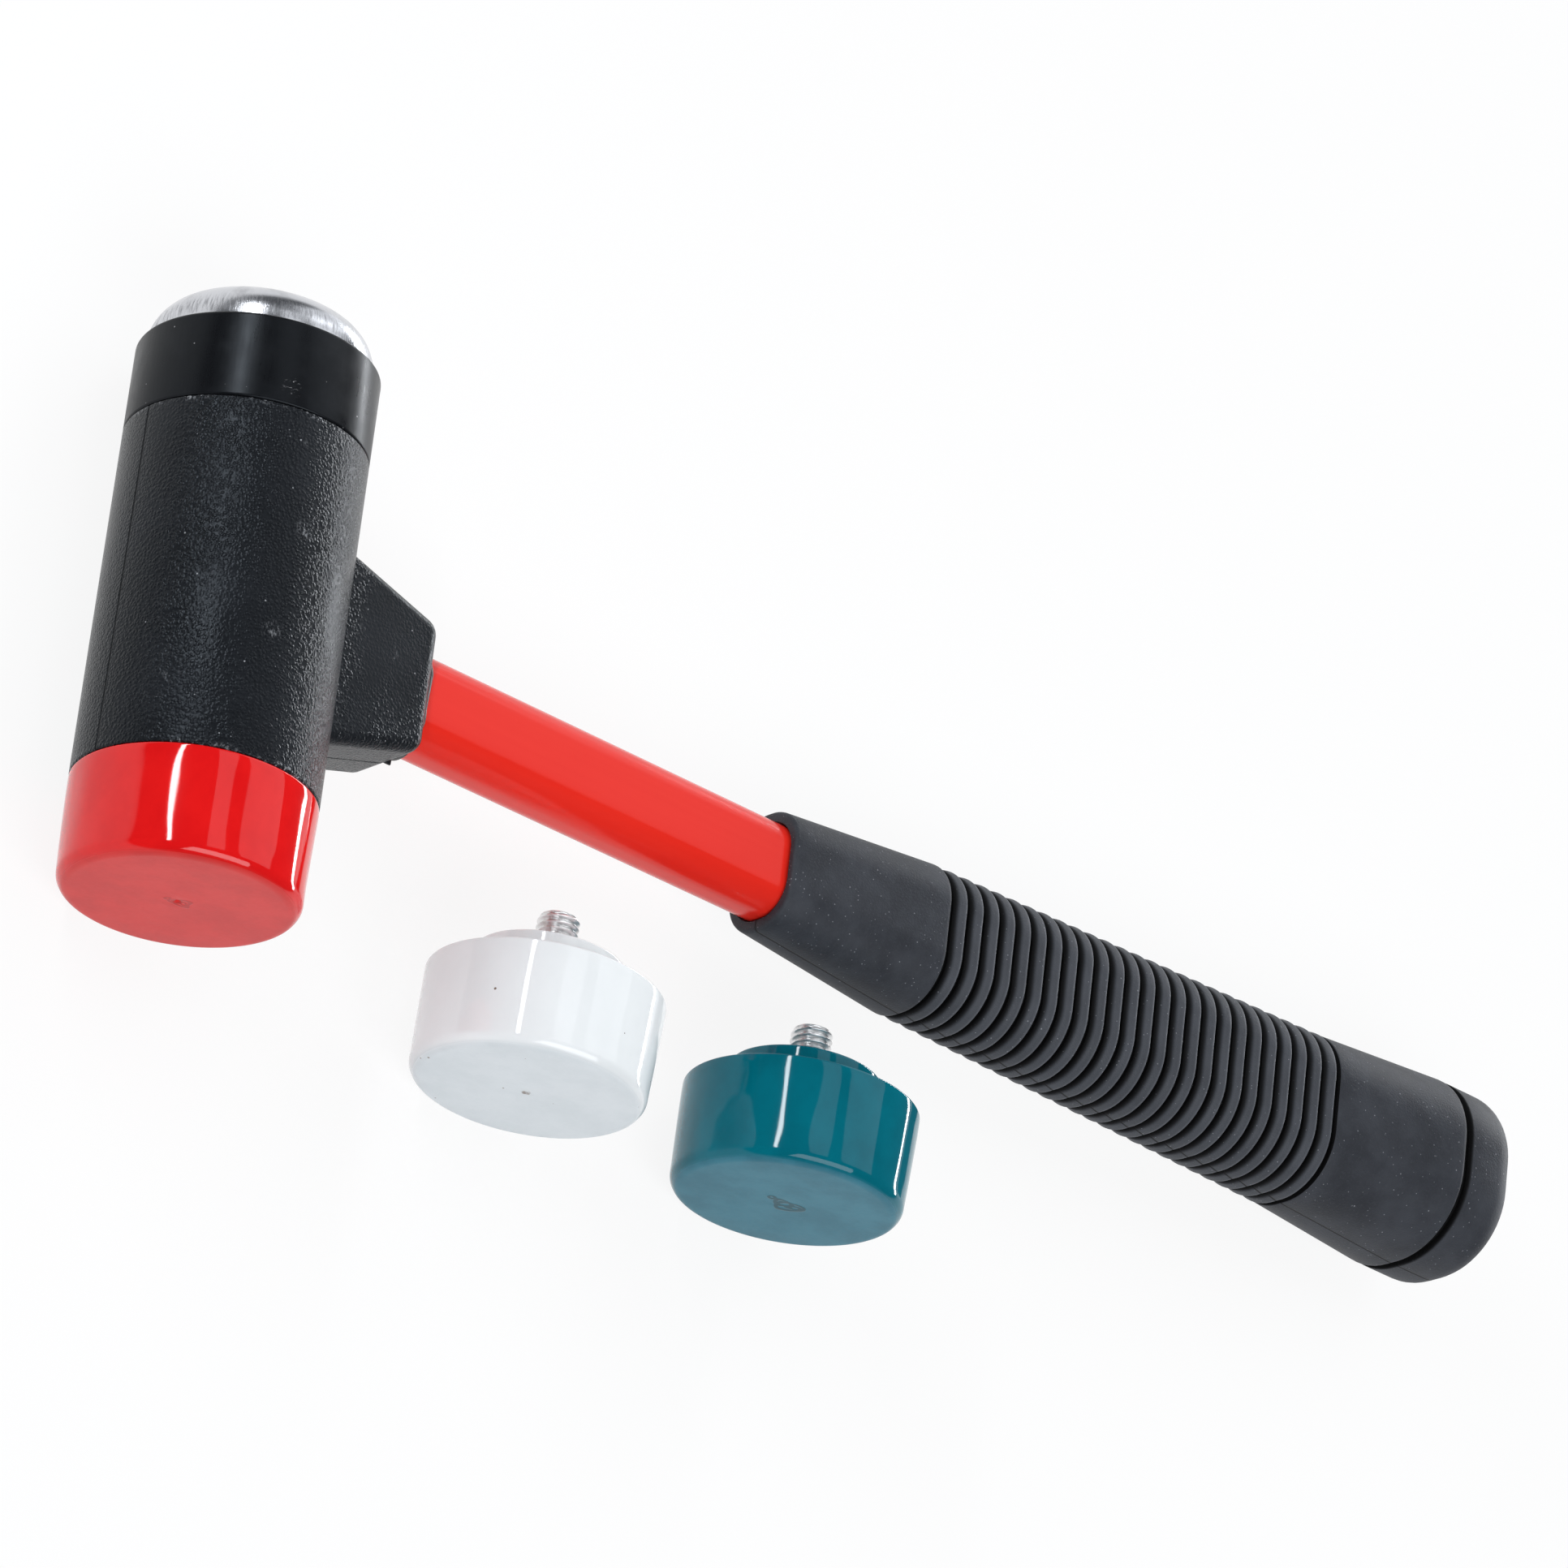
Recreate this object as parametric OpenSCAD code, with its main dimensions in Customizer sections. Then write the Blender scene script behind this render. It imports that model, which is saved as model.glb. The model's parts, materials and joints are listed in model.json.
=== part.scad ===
// Soft face hammer lying on its side, with two spare screw-in faces beside it.
// The head's axis runs along Y with the steel face at +Y, and the handle runs along +X.
// The floor is z = 0 and the origin is the middle of the set's footprint.

/* [Head] */
// Diameter of the head body, its faces and its collar
body_d = 45; // [42:0.5:52]
// Length of the head body
body_len = 68.5; // [62:0.5:90]
// Wall of the moulded shell round the steel core
shell_wall = 5.5; // [4:0.25:6.5]
// Chamfer on the rims where faces, collar and body meet
edge_break = 0.5; // [0.2:0.1:1]
// Height of the handle axis above the middle of the body, towards the steel face
handle_rise = 0.9; // [-2:0.1:2]

/* [Neck] */
// Distance from the head axis to the neck's mouth
neck_reach = 42.4; // [36:0.2:50]
// Height of the neck where it leaves the body
neck_root_h = 37.2; // [32:0.2:44]
// Height of the neck at its mouth
neck_mouth_h = 25.4; // [23:0.2:30]
// Thickness of the neck
neck_t = 19.6; // [17:0.2:22]
// Rounding of the neck's edges
neck_round = 2.6; // [1:0.1:4]

/* [Faces] */
// Length of a plastic face from its rim to its striking end
face_len = 20.9; // [18:0.1:26]
// Draft of a plastic face on each side, in degrees
face_draft = 1.3; // [0.4:0.1:2]
// Rounding of the striking edge
face_round = 2.6; // [1:0.1:4]
// Diameter of the locating boss behind a face
boss_d = 28.8; // [24:0.2:32]
// Height of the locating boss
boss_h = 5.4; // [3:0.1:7]

/* [Studs] */
// Thread diameter of a face's stud
stud_d = 8; // [6:0.5:10]
// Thread pitch
thread_pitch = 1.25; // [0.8:0.05:1.5]
// Length of stud that stands out of the boss
stud_reach = 9.1; // [6:0.1:12]
// Length of stud moulded into a plastic face, measured from its rim
stud_root = 11; // [8:0.5:14]
// How far the shank moulded into a plastic face stands out round the thread
stud_shank_step = 1; // [0.5:0.25:1.5]
// How far the flange on the moulded-in end stands out round the shank
stud_flange_step = 2.5; // [1.5:0.25:4]
// Thickness of that flange
stud_flange_t = 3; // [2:0.25:4]

/* [Steel face] */
// Length of the collar round the steel face
collar_len = 16.9; // [12:0.1:22]
// Wall of the collar
collar_wall = 1.5; // [1.2:0.1:2.5]
// Thickness of the collar's inner flange, which the steel face holds against the body
collar_floor = 3; // [2:0.25:4]
// Straight band of steel that shows above the collar
dome_band = 0.9; // [0.4:0.1:3]
// Height of the dome above that band
dome_h = 10.5; // [9.5:0.1:14]
// Radius of the dome's shoulder
dome_shoulder = 8; // [5:0.25:8.5]

/* [Handle bar] */
// Height of the bar's section, along the head
bar_w = 19; // [17:0.2:20]
// Thickness of the bar's section
bar_t = 14; // [12:0.2:15]
// Corner rounding of the bar
bar_round = 6; // [4:0.1:6]
// How far the bar runs past the head axis into the core
bar_depth = 9; // [4:0.5:11]
// Thickness of the adhesive round the bar
bond_t = 0.6; // [0.4:0.1:0.8]
// Length of adhesive that shows past the neck's mouth
bond_lip = 1.1; // [0.5:0.1:2]

/* [Grip] */
// Distance from the head axis to the front of the grip
grip_start = 132.6; // [110:0.2:150]
// Length of the smooth front part
grip_front_len = 38; // [30:0.5:50]
// Number of ribs
rib_count = 25; // [15:1:30]
// Distance from rib to rib
rib_pitch = 4.14; // [3.6:0.02:5]
// Width of the grooves beside the ribs
groove_w = 1.2; // [0.8:0.1:1.6]
// Depth of all the grip's grooves
groove_depth = 1.4; // [0.8:0.1:1.8]
// Length of the smooth part between the ribs and the butt groove
grip_rear_len = 32; // [22:0.2:40]
// Width of the groove before the butt
butt_groove_w = 1.6; // [1:0.1:2.5]
// Length of the butt behind its groove
butt_len = 14; // [9:0.2:16]
// Rounding of the butt's end
butt_round = 6; // [3:0.25:8]
// Height of the grip's front end, along the head
grip_front_w = 24.4; // [23.4:0.2:28]
// Thickness of the grip's front end
grip_front_t = 18; // [17.6:0.2:22]
// Height of the grip at the first rib
rib_first_w = 30.8; // [29:0.2:34]
// Thickness of the grip at the first rib
rib_first_t = 23.2; // [22:0.2:26]
// Height of the grip at the last rib
rib_last_w = 35.8; // [34:0.2:39]
// Thickness of the grip at the last rib
rib_last_t = 27.6; // [26:0.2:30]
// Height of the butt
butt_w = 39.4; // [38:0.2:44]
// Thickness of the butt
butt_t = 36.4; // [32:0.2:38]
// Rubber left behind the end of the bar
butt_wall = 12; // [8:0.5:16]

/* [Spare faces] */
// Place of the white face's rim along the handle, from the head axis
white_x = 83.9; // [70:0.1:92]
// Distance of the white face's rim from the middle of the head, on the red face's side
white_y = 40.9; // [36:0.1:60]
// Turn of the white face on the floor, in degrees
white_turn = -3; // [-10:0.1:10]
// Place of the teal face's rim along the handle, from the head axis
teal_x = 147.2; // [140:0.1:200]
// Distance of the teal face's rim from the middle of the head, on the red face's side
teal_y = 40.8; // [36:0.1:60]
// Turn of the teal face on the floor, in degrees
teal_turn = -2; // [-10:0.1:10]

/* [Hidden] */
$fn = 96;
hull_fn = 32;

// Clearances
mould_gap = 0.05;
boss_gap = 0.15;
thread_gap = 0.1;
collar_gap = 0.15;
seat_gap = 0.05;
boss_seat = 0.2;
tap_spare = 1.5;
grip_gap = 0.15;
bar_end_gap = 0.3;
overrun = 1;

// Part of the half thickness that a grip section's corner takes up
grip_corner_share = 0.92;
// Slices of the butt's rounded end
butt_slices = 6;
// Thickness of the slices that a hull is drawn over
slice_t = 0.1;
// Straight land on the smooth parts beside a groove
land_t = 0.8;

// Head
body_r = body_d / 2;
body_half = body_len / 2;
core_r = body_r - shell_wall;
boss_r = boss_d / 2;
recess_depth = boss_h + boss_seat;
core_half = body_half - recess_depth;
stud_r = stud_d / 2;
shank_r = stud_r + stud_shank_step;
flange_r = shank_r + stud_flange_step;
tap_depth = stud_reach - boss_seat + tap_spare;

// Plastic face: middle of the striking edge's rounding
round_z = face_len - face_round;
round_r = body_r - round_z * tan(face_draft) - face_round / cos(face_draft);

// Steel face: the crown is a large arc that meets the shoulder's arc without a corner
dome_r = body_r - collar_wall - collar_gap;
dome_foot = collar_len + dome_band;
shoulder_x = dome_r - dome_shoulder;
crown_rise = dome_h - dome_shoulder;
crown_drop = (shoulder_x * shoulder_x - crown_rise * crown_rise) / (2 * crown_rise);
crown_r = dome_h + crown_drop;
crown_turn = atan(shoulder_x / crown_drop);

// Grip stations along the handle
rib_start = grip_start + grip_front_len;
rib_end = rib_start + rib_count * rib_pitch + groove_w;
lip_x = rib_end + grip_rear_len;
butt_start = lip_x + butt_groove_w;
grip_end = butt_start + butt_len;
bar_end = grip_end - butt_wall;
bar_start = -bar_depth;

// The hammer lies on the round of its head and on the butt, where its rounded end begins
rest_x = grip_end - butt_round;
rest_half = butt_t / 2;
lie_tilt = asin(body_r / norm([rest_x, rest_half])) - atan(rest_half / rest_x);

// Middle of the footprint in the head's own axes
x_low = -body_r;
x_high = grip_end * cos(lie_tilt) + (rest_half - butt_round) * sin(lie_tilt);
y_high = body_half + dome_foot + dome_h;
white_low = -white_y - spare_span(white_turn);
teal_low = -teal_y - spare_span(teal_turn);
y_low = min(-body_half - face_len, white_low, teal_low);
middle_x = (x_low + x_high) / 2;
middle_y = (y_low + y_high) / 2;

// How far a lying spare face reaches along -Y from its rim
function spare_span(turn) =
    round_z * cos(face_draft) * cos(turn) + round_r * sin(abs(turn)) + face_round;

// Share of the ribbed part that lies before x
function rib_share(x) = (x - rib_start) / (rib_end - rib_start);
function rib_w(x) = rib_first_w + (rib_last_w - rib_first_w) * rib_share(x);
function rib_t(x) = rib_first_t + (rib_last_t - rib_first_t) * rib_share(x);

// Places the head's axes on the floor
module head_place() {
    translate([-middle_x, -middle_y, body_r]) children();
}

// Places the handle's axes, tipped until the butt touches the floor
module handle_place() {
    head_place() rotate([0, lie_tilt, 0]) translate([0, handle_rise, 0]) children();
}

// Turns an upright piece so that it points out of the steel end of the head
module steel_end() {
    head_place() translate([0, body_half, 0]) rotate([-90, 0, 0]) children();
}

// Turns an upright piece so that it points out of the red end of the head
module red_end() {
    head_place() translate([0, -body_half, 0]) rotate([90, 0, 0]) children();
}

// Lays an upright face on the floor, resting along its drafted side
module spare_place(x, y, turn) {
    translate([x - middle_x, -y - middle_y, 0])
        rotate([0, 0, turn])
            rotate([face_draft, 0, 0])
                translate([0, 0, body_r])
                    rotate([90, 0, 0])
                        children();
}

// Outline with rounded corners, centred
module oblong(w, t, r) {
    square([w - 2 * r, t], center = true);
    square([w, t - 2 * r], center = true);
    for (side = [-1, 1], face = [-1, 1])
        translate([side * (w / 2 - r), face * (t / 2 - r)])
            circle(r = r);
}

// Straight run of that outline along X
module oblong_run(from, to, w, t, r) {
    translate([from, 0, 0])
        rotate([90, 0, 90])
            linear_extrude(to - from)
                oblong(w, t, r);
}

// Straight run with the grip's own corners
module grip_run(from, to, w, t) {
    oblong_run(from, to, w, t, grip_corner_share * min(w, t) / 2);
}

// Thin slice for a hull, which ends at x
module grip_slice(x, w, t) {
    grip_run(x - slice_t, x, w, t, $fn = hull_fn);
}

// Bar's own section, larger all round by gap
module bar_run(from, to, gap) {
    oblong_run(from, to, bar_w + 2 * gap, bar_t + 2 * gap, bar_round + gap);
}

// Tapered neck, one rounded block that starts inside the body
module neck() {
    rise_per_x = (neck_root_h - neck_mouth_h) / (neck_reach - body_r);
    inner_h = neck_mouth_h + rise_per_x * neck_reach;
    hull()
        for (face = [-1, 1], side = [-1, 1]) {
            translate([
                neck_reach - neck_round,
                side * (neck_mouth_h / 2 - neck_round),
                face * (neck_t / 2 - neck_round)
            ])
                sphere(r = neck_round, $fn = hull_fn);
            translate([0, side * (inner_h / 2 - neck_round), face * (neck_t / 2 - neck_round)])
                sphere(r = neck_round, $fn = hull_fn);
        }
}

// Body of the head without its neck, chamfered at both rims
module body_round() {
    rotate([90, 0, 0])
        rotate_extrude()
            polygon([
                [0, -body_half],
                [body_r - edge_break, -body_half],
                [body_r, -body_half + edge_break],
                [body_r, body_half - edge_break],
                [body_r - edge_break, body_half],
                [0, body_half]
            ]);
}

// Moulded shell: body and neck, hollow for the core, with a locating recess at each end
module head_shell() {
    color([0.13, 0.14, 0.15])
        head_place()
            rotate([0, lie_tilt, 0])
                difference() {
                    union() {
                        body_round();
                        translate([0, handle_rise, 0]) neck();
                    }
                    rotate([90, 0, 0])
                        cylinder(r = core_r + mould_gap, h = 2 * (core_half + mould_gap), center = true);
                    rotate([90, 0, 0])
                        cylinder(r = boss_r + boss_gap, h = body_len + overrun, center = true);
                    translate([0, handle_rise, 0])
                        bar_run(0, neck_reach + overrun, bond_t + mould_gap);
                }
}

// Steel core: a tapped hole at each end and a blind eye for the bar
module head_core() {
    color([0.45, 0.46, 0.48])
        head_place()
            rotate([0, lie_tilt, 0])
                difference() {
                    rotate([90, 0, 0])
                        cylinder(r = core_r, h = 2 * core_half, center = true);
                    for (end = [0, 1])
                        mirror([0, end, 0])
                            translate([0, core_half + overrun, 0])
                                rotate([90, 0, 0])
                                    cylinder(r = stud_r + thread_gap, h = tap_depth + overrun);
                    translate([0, handle_rise, 0])
                        bar_run(bar_start - bar_end_gap, core_r + overrun, bond_t + mould_gap);
                }
}

// Glass-fibre bar, from the eye in the core to just short of the butt
module handle_bar() {
    color([0.85, 0.1, 0.08])
        handle_place()
            bar_run(bar_start, bar_end, 0);
}

// Adhesive sleeve in the eye, with a lip that shows at the neck's mouth
module handle_bond() {
    color([0.06, 0.06, 0.06])
        handle_place()
            difference() {
                bar_run(bar_start, neck_reach + bond_lip, bond_t);
                bar_run(bar_start - overrun, neck_reach + bond_lip + overrun, mould_gap);
            }
}

// Rubber sleeve: smooth front, ribs on a tapered core, flared rear and rounded butt
module grip() {
    color([0.16, 0.17, 0.19])
        handle_place()
            difference() {
                union() {
                    hull() {
                        grip_slice(grip_start + slice_t, grip_front_w, grip_front_t);
                        grip_run(rib_start - land_t, rib_start, rib_first_w, rib_first_t, $fn = hull_fn);
                    }
                    rib_core();
                    for (i = [0 : rib_count - 1]) rib(rib_start + groove_w + i * rib_pitch);
                    hull() {
                        grip_slice(rib_end + slice_t, rib_last_w, rib_last_t);
                        grip_run(lip_x - land_t, lip_x, butt_w, butt_t, $fn = hull_fn);
                    }
                    butt_neck();
                    butt();
                }
                bar_run(grip_start - overrun, bar_end + bar_end_gap, grip_gap);
            }
}

// One rib, as wide as the pitch leaves beside its groove
module rib(x) {
    land = rib_pitch - groove_w;
    grip_run(x, x + land, rib_w(x + land), rib_t(x + land));
}

// Tapered core whose side is the floor of all the grooves between the ribs
module rib_core() {
    cut = 2 * groove_depth;
    hull() {
        grip_slice(rib_start, rib_first_w - cut, rib_first_t - cut);
        grip_run(rib_end, rib_end + land_t, rib_last_w - cut, rib_last_t - cut, $fn = hull_fn);
    }
}

// Floor of the groove before the butt
module butt_neck() {
    cut = 2 * groove_depth;
    grip_run(lip_x - land_t, butt_start + land_t, butt_w - cut, butt_t - cut);
}

// Butt behind its groove, its end rounded by slices along a quarter arc
module butt() {
    hull() {
        grip_run(butt_start, rest_x, butt_w, butt_t, $fn = hull_fn);
        for (i = [1 : butt_slices]) {
            turn = 90 * i / butt_slices;
            inset = butt_round * (1 - cos(turn));
            grip_slice(rest_x + butt_round * sin(turn), butt_w - 2 * inset, butt_t - 2 * inset);
        }
    }
}

// Plastic face, upright on its rim, with its boss below and its stud's place left open
module plastic_face() {
    difference() {
        union() {
            rotate_extrude() {
                polygon([
                    [0, 0],
                    [body_r - edge_break, 0],
                    [body_r - edge_break * tan(face_draft), edge_break],
                    [round_r + face_round * cos(face_draft), round_z + face_round * sin(face_draft)],
                    [round_r, round_z],
                    [round_r, face_len],
                    [0, face_len]
                ]);
                translate([round_r, round_z]) circle(r = face_round);
            }
            translate([0, 0, -boss_h]) cylinder(r = boss_r, h = boss_h + edge_break);
        }
        translate([0, 0, -boss_h - overrun])
            cylinder(r = shank_r + mould_gap, h = boss_h + overrun + stud_root);
        translate([0, 0, stud_root - stud_flange_t - mould_gap])
            cylinder(r = flange_r + mould_gap, h = stud_flange_t + 2 * mould_gap);
    }
}

// Stud of a plastic face: chamfered tip, thread length, moulded-in shank and flange
module face_stud() {
    tip = -boss_h - stud_reach;
    rotate_extrude()
        polygon([
            [0, tip],
            [stud_r - edge_break, tip],
            [stud_r, tip + edge_break],
            [stud_r, -boss_h],
            [shank_r, -boss_h],
            [shank_r, stud_root - stud_flange_t],
            [flange_r, stud_root - stud_flange_t],
            [flange_r, stud_root],
            [0, stud_root]
        ]);
}

module red_face() {
    color([0.82, 0.05, 0.06]) red_end() plastic_face();
}

module red_face_stud() {
    color([0.75, 0.76, 0.78]) red_end() face_stud();
}

module white_face() {
    color([0.92, 0.91, 0.92]) spare_place(white_x, white_y, white_turn) plastic_face();
}

module white_face_stud() {
    color([0.75, 0.76, 0.78]) spare_place(white_x, white_y, white_turn) face_stud();
}

module teal_face() {
    color([0, 0.4, 0.46]) spare_place(teal_x, teal_y, teal_turn) plastic_face();
}

module teal_face_stud() {
    color([0.75, 0.76, 0.78]) spare_place(teal_x, teal_y, teal_turn) face_stud();
}

// Half outline of the steel face: stud, boss, slug inside the collar, then shoulder and crown
module steel_outline() {
    tip = -boss_h - stud_reach;
    slug_foot = collar_floor + seat_gap;
    polygon([
        [0, tip],
        [stud_r - edge_break, tip],
        [stud_r, tip + edge_break],
        [stud_r, -boss_h],
        [boss_r, -boss_h],
        [boss_r, slug_foot],
        [dome_r, slug_foot],
        [dome_r, dome_foot],
        [0, dome_foot]
    ]);
    translate([shoulder_x, dome_foot]) intersection() {
        circle(r = dome_shoulder);
        square(dome_shoulder);
    }
    translate([0, dome_foot - crown_drop]) intersection() {
        circle(r = crown_r);
        polygon([
            [0, crown_drop],
            [shoulder_x, crown_drop],
            [2 * crown_r * tan(crown_turn), 2 * crown_r],
            [0, 2 * crown_r]
        ]);
    }
}

// Domed steel face, turned in one piece with its stud
module steel_face() {
    color([0.78, 0.79, 0.81])
        steel_end()
            rotate_extrude()
                steel_outline();
}

// Collar: a sleeve round the steel face with an inner flange under it
module steel_face_collar() {
    color([0.1, 0.1, 0.11])
        steel_end()
            rotate_extrude()
                polygon([
                    [boss_r + boss_gap, 0],
                    [body_r - edge_break, 0],
                    [body_r, edge_break],
                    [body_r, collar_len - edge_break],
                    [body_r - edge_break, collar_len],
                    [dome_r + collar_gap, collar_len],
                    [dome_r + collar_gap, collar_floor],
                    [boss_r + boss_gap, collar_floor]
                ]);
}

head_shell();
head_core();
handle_bar();
handle_bond();
grip();
red_face();
red_face_stud();
steel_face();
steel_face_collar();
white_face();
white_face_stud();
teal_face();
teal_face_stud();
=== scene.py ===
"""Dresses the soft face hammer and its two spare faces, and sets the studio round them."""

import json
import logging
import math
from dataclasses import dataclass, field
from enum import Enum
from typing import Any, Sequence

import bmesh
import bpy
from mathutils import Euler, Matrix, Vector, noise

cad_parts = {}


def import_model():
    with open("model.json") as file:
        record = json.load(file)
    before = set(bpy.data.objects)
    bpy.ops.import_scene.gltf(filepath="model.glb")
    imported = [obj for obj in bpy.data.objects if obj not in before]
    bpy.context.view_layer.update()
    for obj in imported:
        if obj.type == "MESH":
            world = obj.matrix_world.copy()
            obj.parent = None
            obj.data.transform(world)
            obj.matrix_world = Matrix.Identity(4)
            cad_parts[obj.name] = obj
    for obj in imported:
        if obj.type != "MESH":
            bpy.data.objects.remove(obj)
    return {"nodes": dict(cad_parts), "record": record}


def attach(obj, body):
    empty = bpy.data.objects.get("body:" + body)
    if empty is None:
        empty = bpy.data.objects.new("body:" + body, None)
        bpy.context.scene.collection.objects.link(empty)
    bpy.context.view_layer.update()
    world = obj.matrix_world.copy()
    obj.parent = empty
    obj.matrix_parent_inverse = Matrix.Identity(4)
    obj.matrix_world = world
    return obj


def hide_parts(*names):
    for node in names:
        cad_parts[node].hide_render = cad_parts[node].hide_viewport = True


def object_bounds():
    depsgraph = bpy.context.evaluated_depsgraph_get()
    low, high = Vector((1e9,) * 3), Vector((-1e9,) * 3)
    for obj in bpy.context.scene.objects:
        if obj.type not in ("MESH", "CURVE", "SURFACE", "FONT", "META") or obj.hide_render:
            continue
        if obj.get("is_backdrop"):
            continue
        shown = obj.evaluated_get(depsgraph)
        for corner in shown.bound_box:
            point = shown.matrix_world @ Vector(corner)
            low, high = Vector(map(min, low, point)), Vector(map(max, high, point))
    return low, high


log = logging.getLogger("soft_face_hammer")

MM = 0.001
LIE_TILT = math.radians(0.777771)
Point = tuple[float, float]
Colour = tuple[float, float, float]


# Node trees


class Field:
    """A node's output that takes part in Python sums; each step adds a Math node."""

    def __init__(self, tree: "Tree", socket: bpy.types.NodeSocket) -> None:
        """Keeps the tree and the socket it stands for."""
        self.tree = tree
        self.socket = socket

    def _math(self, operation: str, *terms: Any) -> "Field":
        """Adds one Math node on the given terms, in their order."""
        return self.tree.node("ShaderNodeMath", {"operation": operation}, dict(enumerate(terms)))

    def __add__(self, other: Any) -> "Field":
        """Sum."""
        return self._math("ADD", self, other)

    def __radd__(self, other: Any) -> "Field":
        """Sum with a number in front."""
        return self._math("ADD", other, self)

    def __sub__(self, other: Any) -> "Field":
        """Difference."""
        return self._math("SUBTRACT", self, other)

    def __rsub__(self, other: Any) -> "Field":
        """Difference from a number."""
        return self._math("SUBTRACT", other, self)

    def __mul__(self, other: Any) -> "Field":
        """Product."""
        return self._math("MULTIPLY", self, other)

    def __rmul__(self, other: Any) -> "Field":
        """Product with a number in front."""
        return self._math("MULTIPLY", other, self)

    def __truediv__(self, other: Any) -> "Field":
        """Quotient."""
        return self._math("DIVIDE", self, other)

    def __rtruediv__(self, other: Any) -> "Field":
        """Quotient of a number by this."""
        return self._math("DIVIDE", other, self)

    def __pow__(self, other: Any) -> "Field":
        """Power."""
        return self._math("POWER", self, other)

    def __neg__(self) -> "Field":
        """The same value with its sign turned."""
        return self._math("MULTIPLY", self, -1.0)

    def __abs__(self) -> "Field":
        """Size without sign."""
        return self._math("ABSOLUTE", self)

    def above(self, limit: Any) -> "Field":
        """1 where the value is over the limit, else 0."""
        return self._math("GREATER_THAN", self, limit)

    def least(self, other: Any) -> "Field":
        """The smaller of two values."""
        return self._math("MINIMUM", self, other)

    def most(self, other: Any) -> "Field":
        """The larger of two values."""
        return self._math("MAXIMUM", self, other)

    def fraction(self) -> "Field":
        """What is left of the value after its whole part."""
        return self._math("FRACT", self)

    def sine(self) -> "Field":
        """Sine of an angle in radians."""
        return self._math("SINE", self)

    def cosine(self) -> "Field":
        """Cosine of an angle in radians."""
        return self._math("COSINE", self)

    def sign(self) -> "Field":
        """-1, 0 or 1 by the value's sign."""
        return self._math("SIGN", self)

    def angle_to(self, other: Any) -> "Field":
        """Angle of the point (other, self) round the origin."""
        return self._math("ARCTAN2", self, other)

    def length_with(self, other: "Field") -> "Field":
        """Distance of the point (self, other) from the origin."""
        return (self * self + other * other) ** 0.5

    def ramp(self, low: float, high: float) -> "Field":
        """Smooth step from 0 at low to 1 at high.

        Args:
            low: Value where the step starts.
            high: Value where the step ends.

        Returns:
            The step between 0 and 1.
        """
        return self.tree.node(
            "ShaderNodeMapRange",
            {"interpolation_type": "SMOOTHSTEP"},
            {"Value": self, "From Min": low, "From Max": high},
        )


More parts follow.
